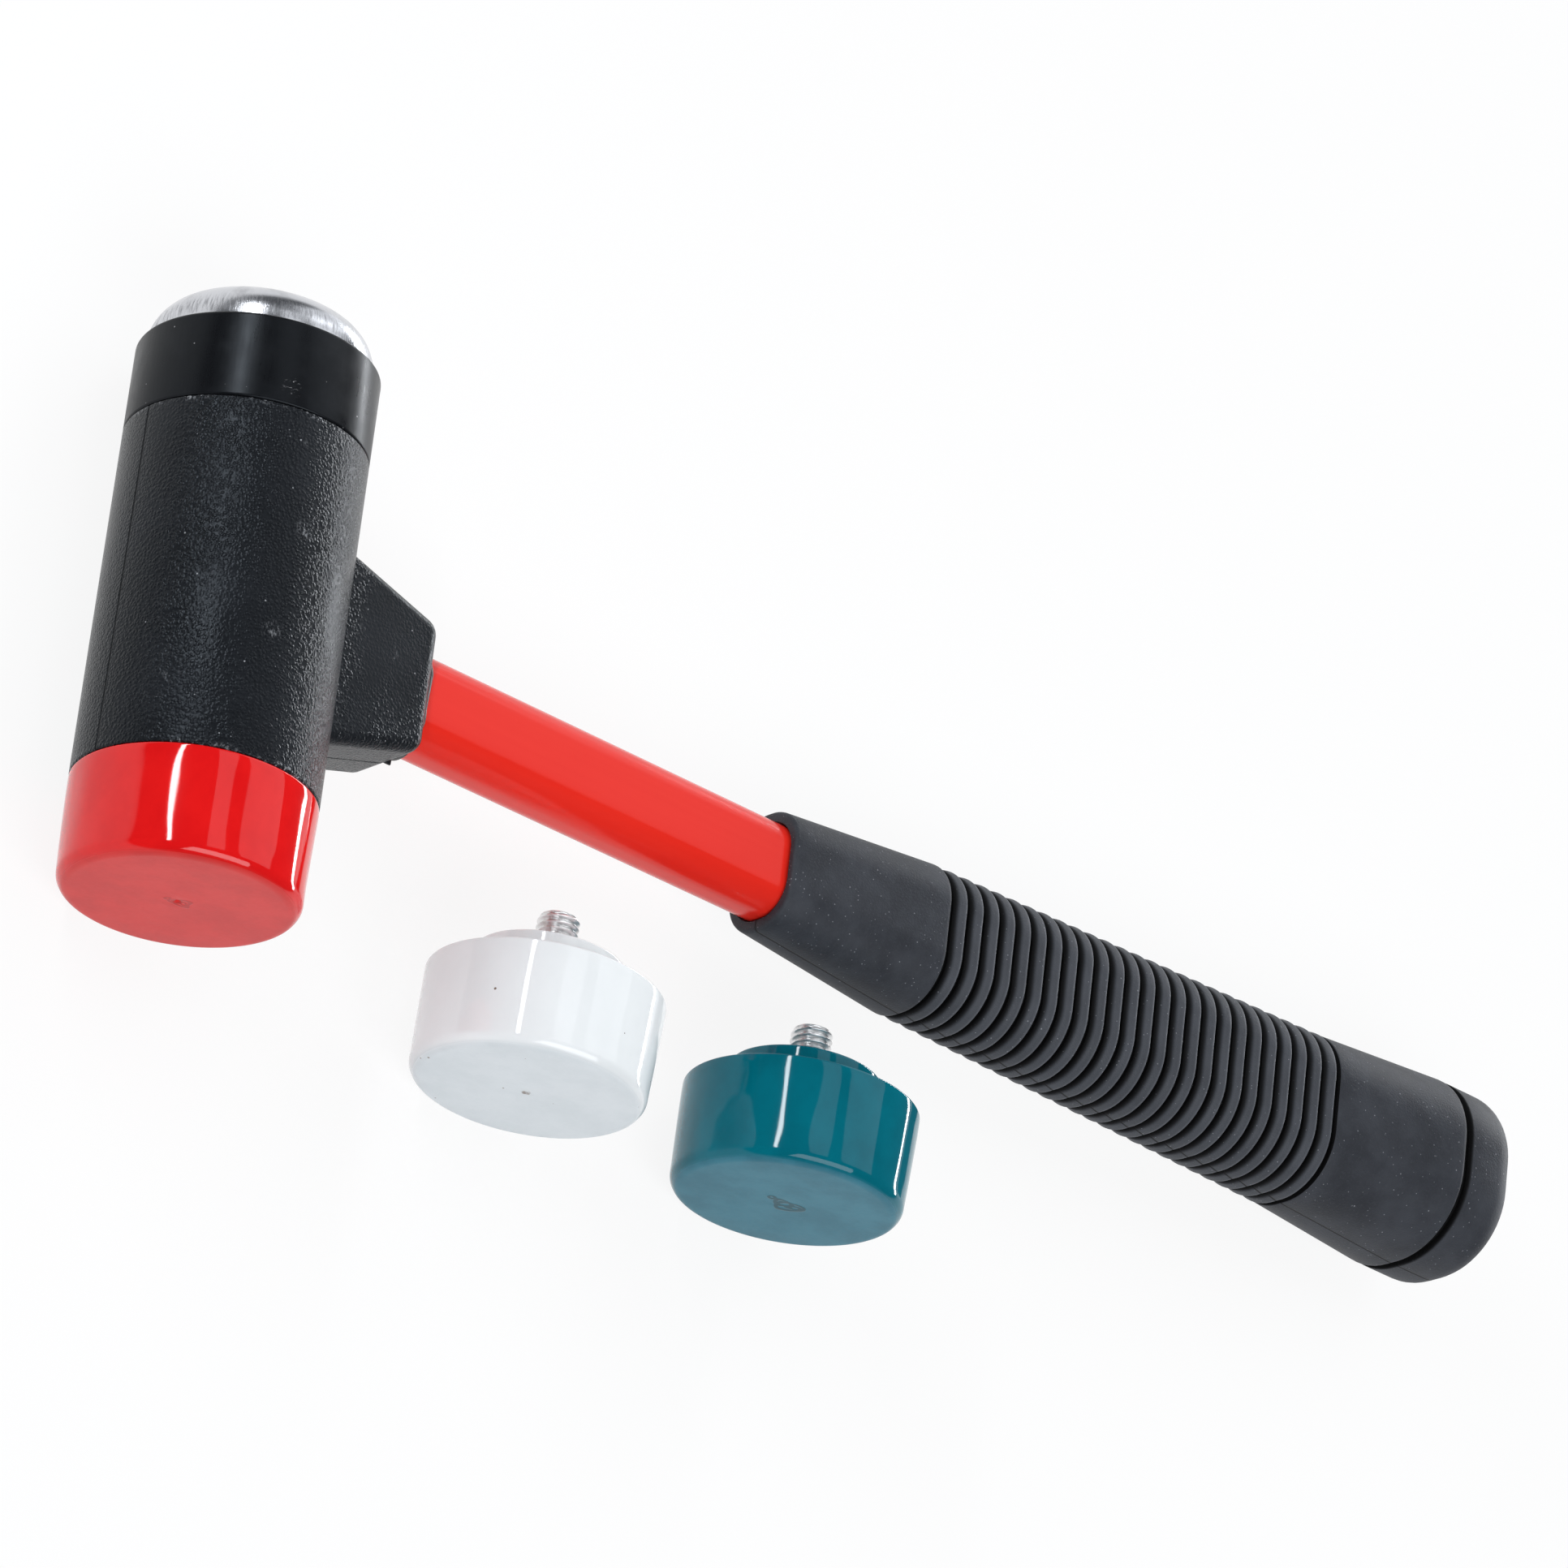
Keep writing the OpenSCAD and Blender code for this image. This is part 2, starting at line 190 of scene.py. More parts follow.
class Tree:
    """A node tree under construction, for a finish or for a shape."""

    def __init__(self, tree: bpy.types.NodeTree) -> None:
        """Keeps the tree that nodes are added to."""
        self.tree = tree

    @staticmethod
    def _pick(sockets: Any, key: int | str) -> bpy.types.NodeSocket:
        """Finds a socket by place, identifier or name.

        Args:
            sockets: A node's inputs or outputs.
            key: Place, identifier or name of the socket.

        Returns:
            The socket.
        """
        if isinstance(key, int):
            return sockets[key]
        for socket in sockets:
            if socket.identifier == key:
                return socket
        return sockets[key]

    def node(
        self,
        kind: str,
        settings: dict[str, Any] | None = None,
        sockets: dict[int | str, Any] | None = None,
        out: int | str = 0,
    ) -> Field:
        """Adds a node: its settings first, then the values or links of its sockets.

        Args:
            kind: Blender's name of the node type.
            settings: Properties of the node.
            sockets: Values or fields for the inputs, by place, identifier or name.
            out: The output to hand back.

        Returns:
            The chosen output.
        """
        made = self.tree.nodes.new(kind)
        for name, value in (settings or {}).items():
            setattr(made, name, value)
        for key, value in (sockets or {}).items():
            socket = self._pick(made.inputs, key)
            if isinstance(value, Field):
                self.tree.links.new(value.socket, socket)
            else:
                socket.default_value = value
        if not made.outputs:
            return Field(self, made.inputs[0])
        return Field(self, self._pick(made.outputs, out))

    def also(self, fld: Field, out: int | str) -> Field:
        """Another output of the node that a field comes from."""
        return Field(self, self._pick(fld.socket.node.outputs, out))

    def parts(self, vector: Field) -> tuple[Field, Field, Field]:
        """The x, y and z of a vector."""
        x = self.node("ShaderNodeSeparateXYZ", sockets={0: vector})
        return x, self.also(x, 1), self.also(x, 2)

    def vector(self, x: Any, y: Any, z: Any) -> Field:
        """A vector from its three parts."""
        return self.node("ShaderNodeCombineXYZ", sockets={0: x, 1: y, 2: z})

    def stretch(self, vector: Field, by: tuple[float, float, float]) -> Field:
        """A vector with each part multiplied by its own number."""
        return self.node("ShaderNodeVectorMath", {"operation": "MULTIPLY"}, {0: vector, 1: by})

    def shifted(self, vector: Field, by: Field, amount: float) -> Field:
        """A vector moved by another one, times a number.

        Args:
            vector: The vector to move.
            by: The move, with parts between 0 and 1.
            amount: How far a full part moves it.

        Returns:
            The moved vector.
        """
        centred = self.node(
            "ShaderNodeVectorMath", {"operation": "SUBTRACT"}, {0: by, 1: (0.5, 0.5, 0.5)}
        )
        step = self.node(
            "ShaderNodeVectorMath", {"operation": "SCALE"}, {0: centred, "Scale": amount}
        )
        return self.node("ShaderNodeVectorMath", {"operation": "ADD"}, {0: vector, 1: step})

    def distance(self, vector: Field, point: tuple[float, float, float]) -> Field:
        """Distance of a vector from a fixed point."""
        ends = {0: vector, 1: point}
        return self.node("ShaderNodeVectorMath", {"operation": "DISTANCE"}, ends, out=1)

    def mix(self, share: Any, first: Any, second: Any) -> Field:
        """Colour between two colours.

        Args:
            share: 0 for the first colour, 1 for the second.
            first: A colour or a field of colour.
            second: A colour or a field of colour.

        Returns:
            The mixed colour.
        """
        ends = [
            (*value, 1.0) if isinstance(value, tuple) and len(value) == 3 else value
            for value in (first, second)
        ]
        return self.node(
            "ShaderNodeMix",
            {"data_type": "RGBA"},
            {"Factor_Float": share, "A_Color": ends[0], "B_Color": ends[1]},
            out="Result_Color",
        )

    def noise(self, vector: Field, size: float, detail: float = 3.0, rough: float = 0.5) -> Field:
        """Cloudy noise between 0 and 1.

        Args:
            vector: Where it is read, in millimetres.
            size: Size of its largest clouds, in millimetres.
            detail: Number of finer layers.
            rough: Weight of the finer layers.

        Returns:
            The noise.
        """
        return self.node(
            "ShaderNodeTexNoise",
            {"noise_dimensions": "3D"},
            {"Vector": vector, "Scale": 1.0 / size, "Detail": detail, "Roughness": rough},
        )

    def cells(self, vector: Field, size: float) -> Field:
        """Distance from the nearest of many scattered points, in cell sizes.

        Args:
            vector: Where it is read, in millimetres.
            size: Size of a cell, in millimetres.

        Returns:
            The distance.
        """
        return self.node(
            "ShaderNodeTexVoronoi",
            {"feature": "F1"},
            {"Vector": vector, "Scale": 1.0 / size},
            out="Distance",
        )

    def specks(self, vector: Field, size: float, spread: float, share: float) -> Field:
        """Small round specks scattered over a surface.

        Args:
            vector: Where they are read, in millimetres.
            size: Radius of the largest speck, in millimetres.
            spread: Distance from speck to speck, in millimetres.
            share: Part of the places that carry a speck.

        Returns:
            1 on a speck and 0 elsewhere.
        """
        distance = self.cells(vector, spread)
        chance = self.parts(self.also(distance, "Color"))[0]
        radius = (chance - (1.0 - share)).most(0.0) * (size / spread / share)
        return (radius - distance).ramp(0.0, 0.25 * size / spread)


class Surface(Tree):
    """A material's node tree round one shader."""

    def __init__(self, name: str) -> None:
        """Starts an empty material.

        Args:
            name: Name of the material.
        """
        self.material = bpy.data.materials.new(name)
        self.material.use_nodes = True
        self.material.node_tree.nodes.clear()
        super().__init__(self.material.node_tree)

    def local(self, place: "Place") -> Field:
        """Coordinates of a piece's own axes, in millimetres.

        Args:
            place: The piece's axes.

        Returns:
            The vector in those axes.
        """
        world = self.node("ShaderNodeTexCoord", out="Object")
        return self.node(
            "ShaderNodeMapping",
            {"vector_type": "TEXTURE"},
            {"Vector": world, "Location": place.origin, "Rotation": place.turn, "Scale": (MM,) * 3},
        )

    def bump(self, height: Field, depth: float, before: Field | None = None) -> Field:
        """Relief on the surface.

        Args:
            height: Height between 0 and 1.
            depth: What a height of 1 stands for, in millimetres.
            before: Relief that this one lies on.

        Returns:
            The bent normal.
        """
        sockets: dict[int | str, Any] = {"Height": height, "Distance": depth * MM}
        if before is not None:
            sockets["Normal"] = before
        return self.node("ShaderNodeBump", sockets=sockets)

    def close(self, **sockets: Any) -> bpy.types.Material:
        """Ends the tree in one shader.

        Args:
            **sockets: The shader's sockets, with _ for each space.

        Returns:
            The material.
        """
        named = {key.replace("_", " "): value for key, value in sockets.items()}
        for key, value in named.items():
            if isinstance(value, tuple) and len(value) == 3:
                named[key] = (*value, 1.0)
        shader = self.node("ShaderNodeBsdfPrincipled", sockets=named)
        self.node("ShaderNodeOutputMaterial", sockets={"Surface": shader})
        return self.material


class GridShape(Tree):
    """A shape whose points follow a rule, made from a grid by Geometry Nodes."""

    def __init__(self, name: str, sizes: dict[str, float]) -> None:
        """Starts a tree with one named input for each size.

        Args:
            name: Name of the tree.
            sizes: Names and values of its inputs.
        """
        self.name = name
        self.sizes = sizes
        self.keys: dict[str, str] = {}
        group = bpy.data.node_groups.new(name, "GeometryNodeTree")
        group.interface.new_socket("Geometry", in_out="OUTPUT", socket_type="NodeSocketGeometry")
        for label in sizes:
            kind = "NodeSocketInt" if isinstance(sizes[label], int) else "NodeSocketFloat"
            item = group.interface.new_socket(label, in_out="INPUT", socket_type=kind)
            self.keys[label] = item.identifier
        super().__init__(group)
        self._inputs = group.nodes.new("NodeGroupInput")

    def size(self, label: str) -> Field:
        """One of the tree's named inputs."""
        return Field(self, self._pick(self._inputs.outputs, self.keys[label]))

    def grid(self, around: Any, along: Any) -> tuple[Field, Field, Field]:
        """A flat grid that the rule bends.

        Args:
            around: Number of points round the piece.
            along: Number of points along it.

        Returns:
            The grid, and each point's share of the way round and along.
        """
        mesh = self.node(
            "GeometryNodeMeshGrid",
            sockets={"Size X": 1.0, "Size Y": 1.0, "Vertices X": around, "Vertices Y": along},
        )
        x, y, _ = self.parts(self.node("GeometryNodeInputPosition"))
        return mesh, x + 0.5, y + 0.5

    def bend(self, mesh: Field, where: Field) -> Field:
        """Moves the grid's points and closes the seams.

        Args:
            mesh: The flat grid.
            where: Place of each point.

        Returns:
            The closed shape.
        """
        moved = self.node("GeometryNodeSetPosition", sockets={"Geometry": mesh, "Position": where})
        return self.node(
            "GeometryNodeMergeByDistance", sockets={"Geometry": moved, "Distance": 0.0005}
        )

    def make(self, shape: Field, material: bpy.types.Material) -> bpy.types.Mesh:
        """Ends the tree and turns its result into a plain mesh.

        Args:
            shape: The geometry to keep.
            material: Finish of the shape.

        Returns:
            The mesh, in millimetres.
        """
        plain = self.node("GeometryNodeRealizeInstances", sockets={"Geometry": shape})
        dressed = self.node(
            "GeometryNodeSetMaterial", sockets={"Geometry": plain, "Material": material}
        )
        self.node("NodeGroupOutput", sockets={0: dressed})
        holder = bpy.data.objects.new(self.name, bpy.data.meshes.new(self.name))
        bpy.context.scene.collection.objects.link(holder)
        modifier = holder.modifiers.new(self.name, "NODES")
        modifier.node_group = self.tree
        for label, value in self.sizes.items():
            modifier[self.keys[label]] = value
        evaluated = holder.evaluated_get(bpy.context.evaluated_depsgraph_get())
        mesh = bpy.data.meshes.new_from_object(evaluated)
        bpy.data.objects.remove(holder)
        return mesh


# Places and meshes


@dataclass(frozen=True)
class Place:
    """A piece's own axes: where its millimetres lie in the scene's metres."""

    origin: tuple[float, float, float]
    turn: tuple[float, float, float] = (0.0, 0.0, 0.0)

    def matrix(self) -> Matrix:
        """Matrix from the piece's millimetres to the scene's metres."""
        return Matrix.LocRotScale(Vector(self.origin), Euler(self.turn), Vector((MM, MM, MM)))


def arc(middle: Point, radius: float, start: float, end: float, steps: int) -> list[Point]:
    """Points along an arc.

    Args:
        middle: Middle of the arc.
        radius: Its radius.
        start: Angle of the first point, in degrees.
        end: Angle of the last point, in degrees.
        steps: Number of steps between them.

    Returns:
        The points, both ends included.
    """
    angles = [math.radians(start + (end - start) * i / steps) for i in range(steps + 1)]
    return [(middle[0] + radius * math.cos(a), middle[1] + radius * math.sin(a)) for a in angles]


def oblong(width: float, thickness: float, corner: float, steps: int = 12) -> list[Point]:
    """Outline with rounded corners, centred.

    Args:
        width: Size along the first axis.
        thickness: Size along the second axis.
        corner: Radius of the corners.
        steps: Steps round each corner.

    Returns:
        The outline's points, anticlockwise.
    """
    across, up = width / 2 - corner, thickness / 2 - corner
    outline: list[Point] = []
    for quarter, (side, face) in enumerate(((1, 1), (-1, 1), (-1, -1), (1, -1))):
        start = 90.0 * quarter
        outline += arc((side * across, face * up), corner, start, start + 90.0, steps)
    return outline


def section(x: float, outline: Sequence[Point]) -> list[Vector]:
    """Outline set across the handle at x."""
    return [Vector((x, y, z)) for y, z in outline]


class Skin:
    """A mesh in the making, in a piece's own millimetres."""

    def __init__(self) -> None:
        """Starts an empty mesh."""
        self.mesh = bmesh.new()

    def loft(self, rings: Sequence[Sequence[Vector]], ring_closed: bool = False) -> None:
        """Skins a row of closed rings that have equally many points.

        Args:
            rings: The rings in order.
            ring_closed: Whether the last ring meets the first.
        """
        rows = [[self.mesh.verts.new(p) for p in ring] for ring in rings]
        if ring_closed:
            rows.append(rows[0])
        for one, two in zip(rows, rows[1:]):
            for i in range(len(one)):
                j = (i + 1) % len(one)
                self.mesh.faces.new((one[i], one[j], two[j], two[i]))
        if not ring_closed:
            self.mesh.faces.new(rows[0])
            self.mesh.faces.new(rows[-1])

    def lathe(self, profile: Sequence[Point], steps: int = 160) -> None:
        """Turns a closed outline of radius and height round the piece's own z axis.

        Args:
            profile: Radius and height of each point; the last one meets the first.
            steps: Steps round the axis.
        """
        turns = [2 * math.pi * i / steps for i in range(steps)]
        rings = [
            [Vector((r * math.cos(a), r * math.sin(a), z)) for a in turns] for r, z in profile
        ]
        self.loft(rings, ring_closed=True)

    def add(self, mesh: bpy.types.Mesh) -> None:
        """Takes in a finished mesh."""
        self.mesh.from_mesh(mesh)

    def _clean(self) -> None:
        """Closes seams and poles and turns the faces outwards."""
        bm = self.mesh
        bmesh.ops.remove_doubles(bm, verts=bm.verts[:], dist=0.0005)
        bmesh.ops.dissolve_degenerate(bm, edges=bm.edges[:], dist=0.0001)
        bmesh.ops.recalc_face_normals(bm, faces=bm.faces[:])

    def _holder(self, name: str) -> bpy.types.Object:
        """An object that holds the mesh for a while.

        Args:
            name: Name of the object.

        Returns:
            The object; the mesh in the making is used up.
        """
        self._clean()
        mesh = bpy.data.meshes.new(name)
        self.mesh.to_mesh(mesh)
        self.mesh.free()
        holder = bpy.data.objects.new(name, mesh)
        bpy.context.scene.collection.objects.link(holder)
        return holder

    def combine(self, other: "Skin", operation: str) -> None:
        """Joins another closed mesh to this one, or cuts it away.

        Args:
            other: The other mesh, which is used up.
            operation: UNION to join it, DIFFERENCE to cut it away.
        """
        base, tool = self._holder("base"), other._holder("tool")
        modifier = base.modifiers.new("combine", "BOOLEAN")
        modifier.operation = operation
        modifier.solver = "EXACT"
        modifier.object = tool
        evaluated = base.evaluated_get(bpy.context.evaluated_depsgraph_get())
        mesh = bpy.data.meshes.new_from_object(evaluated)
        self.mesh = bmesh.new()
        self.mesh.from_mesh(mesh)
        bpy.data.meshes.remove(mesh)
        for holder in (base, tool):
            spent = holder.data
            bpy.data.objects.remove(holder)
            bpy.data.meshes.remove(spent)

    def piece(
        self, name: str, place: Place, material: bpy.types.Material, sharp: float = 38.0
    ) -> bpy.types.Object:
        """Ends the mesh and sets it in the scene.

        Args:
            name: Name of the piece.
            place: Its own axes.
            material: Its finish.
            sharp: Edges that turn further than this many degrees stay sharp.

        Returns:
            The piece.
        """
        self._clean()
        mesh = bpy.data.meshes.new(name)
        self.mesh.to_mesh(mesh)
        self.mesh.free()
        mesh.transform(place.matrix())
        mesh.materials.clear()
        mesh.materials.append(material)
        mesh.shade_smooth()
        mesh.set_sharp_from_angle(angle=math.radians(sharp))
        made = bpy.data.objects.new(name, mesh)
        bpy.context.scene.collection.objects.link(made)
        return made


class Body(Enum):
    """Bodies of the moving model."""

    HAMMER = "hammer"
    COLLAR = "steel_collar"
    DOME = "steel_face"
    RED = "red_face"
    WHITE = "white_face"
    TEAL = "teal_face"


def seat(piece: bpy.types.Object, body: Body, node: str) -> None:
    """Ties a piece to its body and hides the solid that it stands for.

    Args:
        piece: The finished piece.
        body: Body that it moves with.
        node: Solid that it stands for, or nothing.
    """
    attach(piece, body.value)
    if node:
        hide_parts(node)
    log.info("%s: %d faces on %s", piece.name, len(piece.data.polygons), body.value)


# Finishes


@dataclass(frozen=True)
class GrainedNylon:
    """Black moulded nylon with a pebbled grain and a fine parting line."""

    place: Place
    name: str = "grained_nylon"
    colour: Colour = (0.0040, 0.0045, 0.0058)
    faded: Colour = (0.0078, 0.0087, 0.0110)
    dust: Colour = (0.36, 0.37, 0.39)
    seam: Colour = (0.0012, 0.0012, 0.0014)
    grain: float = 0.6
    grain_depth: float = 0.095
    gloss_tint: Colour = (0.80, 0.90, 1.0)
    line_half: float = 0.3
    rim_from: float = 32.9
    rim_r: float = 22.5
    knocks: tuple[tuple[float, float, float], ...] = ((-0.7, 11.4, 22.5), (-4.3, -9.5, 22.1))
    knock_r: float = 2.6
    rough: float = 0.32
    ior: float = 1.3

    def make(self) -> bpy.types.Material:
        """Builds the material.

        Returns:
            The material.
        """
        s = Surface(self.name)
        p = s.local(self.place)
        x, y, z = s.parts(p)
        wander = s.also(s.noise(p, 0.9, 2.0), 1)
        pebbles = s.cells(s.shifted(p, wander, 0.5), self.grain)
        fine = s.noise(p, 0.25, 2.0)
        cloud = s.noise(p, 14.0, 4.0)
        polished = s.noise(s.stretch(p, (1.0, 0.4, 1.0)), 16.0, 2.0).ramp(0.45, 0.68)
        grain = (1.0 - pebbles.ramp(0.1, 0.8)) * (1.0 - polished * 0.6) + fine * 0.3
        line = 1.0 - abs(z).ramp(self.line_half * 0.5, self.line_half)
        chips = s.noise(p, 1.0, 4.0, 0.65).ramp(0.54, 0.62)
        rim = (abs(y) - self.rim_from).ramp(0.0, 1.1) * chips * cloud.ramp(0.42, 0.6)
        rim = rim * x.length_with(z).ramp(self.rim_r - 0.8, self.rim_r - 0.3)
        scuff = s.noise(s.stretch(p, (1.0, 0.5, 1.0)), 2.2, 6.0, 0.8).ramp(0.58, 0.72)
        scuff = scuff * s.noise(p, 13.0, 1.0).ramp(0.58, 0.68) * 0.3
        scratch = s.noise(s.stretch(p, (1.6, 0.7, 1.0)), 0.9, 5.0, 0.7).ramp(0.5, 0.64)
        for knock in self.knocks:
            near = 1.0 - s.distance(p, knock).ramp(0.2, self.knock_r)
            scuff = scuff.most(near * scratch * 0.55)
        dusty = s.specks(p, 0.22, 2.1, 0.5)
        tint = s.mix(cloud.ramp(0.3, 0.75), self.colour, self.faded)
        tint = s.mix(scuff.most(rim * 0.8), tint, self.dust)
        tint = s.mix(line * 0.9, tint, self.seam)
        tint = s.mix(dusty * 0.8, tint, self.dust)
        rough = self.rough + (cloud - 0.5) * 0.1 - grain * 0.06 + line * 0.4
        relief = s.bump(1.0 - line, 0.3, s.bump(grain, self.grain_depth))
        return s.close(
            Base_Color=tint,
            Roughness=rough,
            Normal=relief,
            IOR=self.ior,
            Specular_Tint=self.gloss_tint,
        )


@dataclass(frozen=True)
class SatinSleeve:
    """Smooth black moulding of the collar, with dust and faint rub marks."""

    place: Place
    name: str = "satin_sleeve"
    colour: Colour = (0.0040, 0.0044, 0.0055)
    rubbed: Colour = (0.0085, 0.0092, 0.0110)
    dust: Colour = (0.36, 0.36, 0.37)
    gloss_tint: Colour = (0.82, 0.91, 1.0)
    scuff_at: tuple[float, float, float] = (-7.0, -21.4, 3.6)
    scuff_r: float = 2.4
    rough: float = 0.27
    ior: float = 1.27

    def make(self) -> bpy.types.Material:
        """Builds the material.

        Returns:
            The material.
        """
        s = Surface(self.name)
        p = s.local(self.place)
        cloud = s.noise(p, 7.0, 5.0, 0.6)
        streak = s.noise(s.stretch(p, (1.0, 1.0, 0.08)), 0.7, 3.0)
        dusty = s.specks(p, 0.22, 1.7, 0.5)
        near = 1.0 - s.distance(p, self.scuff_at).ramp(0.3, self.scuff_r)
        scuff = s.noise(s.stretch(p, (0.5, 1.0, 1.6)), 0.8, 4.0, 0.7).ramp(0.56, 0.66) * near
        tint = s.mix(cloud.ramp(0.42, 0.78), self.colour, self.rubbed)
        tint = s.mix((dusty * 0.8).most(scuff * 0.6), tint, self.dust)
        rough = self.rough + cloud.ramp(0.3, 0.8) * 0.12 + (streak - 0.5) * 0.1
        relief = s.bump(streak * 0.4 + cloud * 0.6, 0.025)
        return s.close(
            Base_Color=tint,
            Roughness=rough,
            Normal=relief,
            IOR=self.ior,
            Specular_Tint=self.gloss_tint,
        )


@dataclass(frozen=True)
class PolishedSteel:
    """Turned and polished dome with short marks left round its foot."""

    place: Place
    foot: float
    name: str = "polished_steel"
    bright: Colour = (0.62, 0.63, 0.66)
    dull: Colour = (0.22, 0.225, 0.24)
    rough: float = 0.21
    marks_round: float = 20.0

    def make(self) -> bpy.types.Material:
        """Builds the material.

        Returns:
            The material.
        """
        s = Surface(self.name)
        p = s.local(self.place)
        x, y, z = s.parts(p)
        round_way = y.angle_to(x) * self.marks_round
        ring = s.noise(s.vector(round_way, z * 0.12, 0.0), 0.5, 4.0, 0.7)
        band = (z - self.foot).ramp(-0.5, 0.4) * (1.0 - (z - self.foot).ramp(2.4, 4.6))
        marks = ring.ramp(0.44, 0.66) * band
        lathe = s.noise(s.vector(x.length_with(y), z, 0.0), 0.35, 2.0)
        smear = s.noise(s.stretch(p, (1.0, 1.0, 0.6)), 7.0, 4.0, 0.6)
        stain = smear.ramp(0.42, 0.74)
        tint = s.mix((marks * 0.75).most(stain * 0.4), self.bright, self.dull)
        rough = self.rough + stain * 0.08 + marks * 0.16
        relief = s.bump(ring * band, 0.03, s.bump(lathe + smear * 2.0, 0.006))
        return s.close(Base_Color=tint, Roughness=rough, Metallic=1.0, Normal=relief)


@dataclass(frozen=True)
class MouldedGloss:
    """Glossy moulded plastic of a face: bright side, matt striking end and a gate mark."""

    name: str
    place: Place
    colour: Colour
    shade: Colour
    end_colour: Colour
    end_shade: Colour
    speck_colour: Colour
    length: float
    gate_radius: float
    gate_scar: float
    gate_curl: float
    speck_share: float
    side_rough: float = 0.04
    ior: float = 1.46
    loop_shares: tuple[Point, ...] = ((0.30, 0.46), (0.42, 0.20), (-0.08, 0.30), (-0.66, 0.16))

    def _scar(self, s: Surface, p: Field) -> Field:
        """Mark of the gate in the middle of the striking end: smeared loops and lumps.

        Args:
            s: The material in the making.
            p: Coordinates of the face's own axes.

        Returns:
            The mark between 0 and 1.
        """
        reach = self.gate_radius
        smear = s.also(s.noise(p, 0.8 * reach, 0.0), 1)
        x, y, _ = s.parts(s.shifted(p, smear, 0.6 * reach))
        scar = s.noise(s.stretch(p, (1.0, 1.5, 1.0)), 1.7, 3.0, 0.6) * (1.0 - self.gate_curl)
        for middle, size in self.loop_shares:
            away = abs((x - middle * reach).length_with(y) - size * reach)
            scar = scar.most((1.0 - away.ramp(0.04 * reach, 0.15 * reach)) * self.gate_curl)
        return scar * (1.0 - x.length_with(y).ramp(0.85 * reach, 1.1 * reach))

    def make(self) -> bpy.types.Material:
        """Builds the material.

        Returns:
            The material.
        """
        s = Surface(self.name)
        p = s.local(self.place)
        _, _, z = s.parts(p)
        cloud = s.noise(p, 9.0, 4.0, 0.6)
        end = (z - (self.length - 1.0)).ramp(0.0, 0.85)
        rub = s.noise(p, 1.1, 4.0, 0.65)
        scar = self._scar(s, p) * end
        speck = s.specks(p, 0.3, 3.2, max(self.speck_share, 0.02))
        tint = s.mix(cloud.ramp(0.3, 0.75), self.colour, self.shade)
        blotch = s.noise(p, 8.0, 5.0, 0.62).ramp(0.34, 0.68)
        tint = s.mix(end * (0.8 + rub * 0.2), tint, s.mix(blotch, self.end_colour, self.end_shade))
        tint = s.mix(scar.ramp(0.3, 0.75) * self.gate_scar, tint, self.speck_colour)
        tint = s.mix(speck * (0.9 if self.speck_share else 0.0), tint, self.speck_colour)
        rough = self.side_rough + cloud * 0.04 + end * (0.3 + rub * 0.12)
        relief = s.bump(rub * end * 0.25 + scar * self.gate_scar * 2.0, 0.06)
        return s.close(Base_Color=tint, Roughness=rough, Normal=relief, IOR=self.ior)


@dataclass(frozen=True)
class FibreBar:
    """Glossy red skin of the drawn glass-fibre bar."""

    place: Place
    name: str = "fibre_bar"
    colour: Colour = (0.78, 0.016, 0.009)
    pale: Colour = (0.84, 0.030, 0.016)
    rough: float = 0.14
    ior: float = 1.34

    def make(self) -> bpy.types.Material:
        """Builds the material.

        Returns:
            The material.
        """
        s = Surface(self.name)
        p = s.local(self.place)
        drawn = s.noise(s.stretch(p, (0.02, 1.0, 1.0)), 1.2, 4.0, 0.6)
        cloud = s.noise(s.stretch(p, (0.3, 1.0, 1.0)), 9.0, 3.0)
        tint = s.mix(drawn * 0.5 + cloud * 0.5, self.colour, self.pale)
        rough = self.rough + cloud * 0.1
        relief = s.bump(drawn, 0.018, s.bump(cloud, 0.05))
        return s.close(Base_Color=tint, Roughness=rough, Normal=relief, IOR=self.ior)


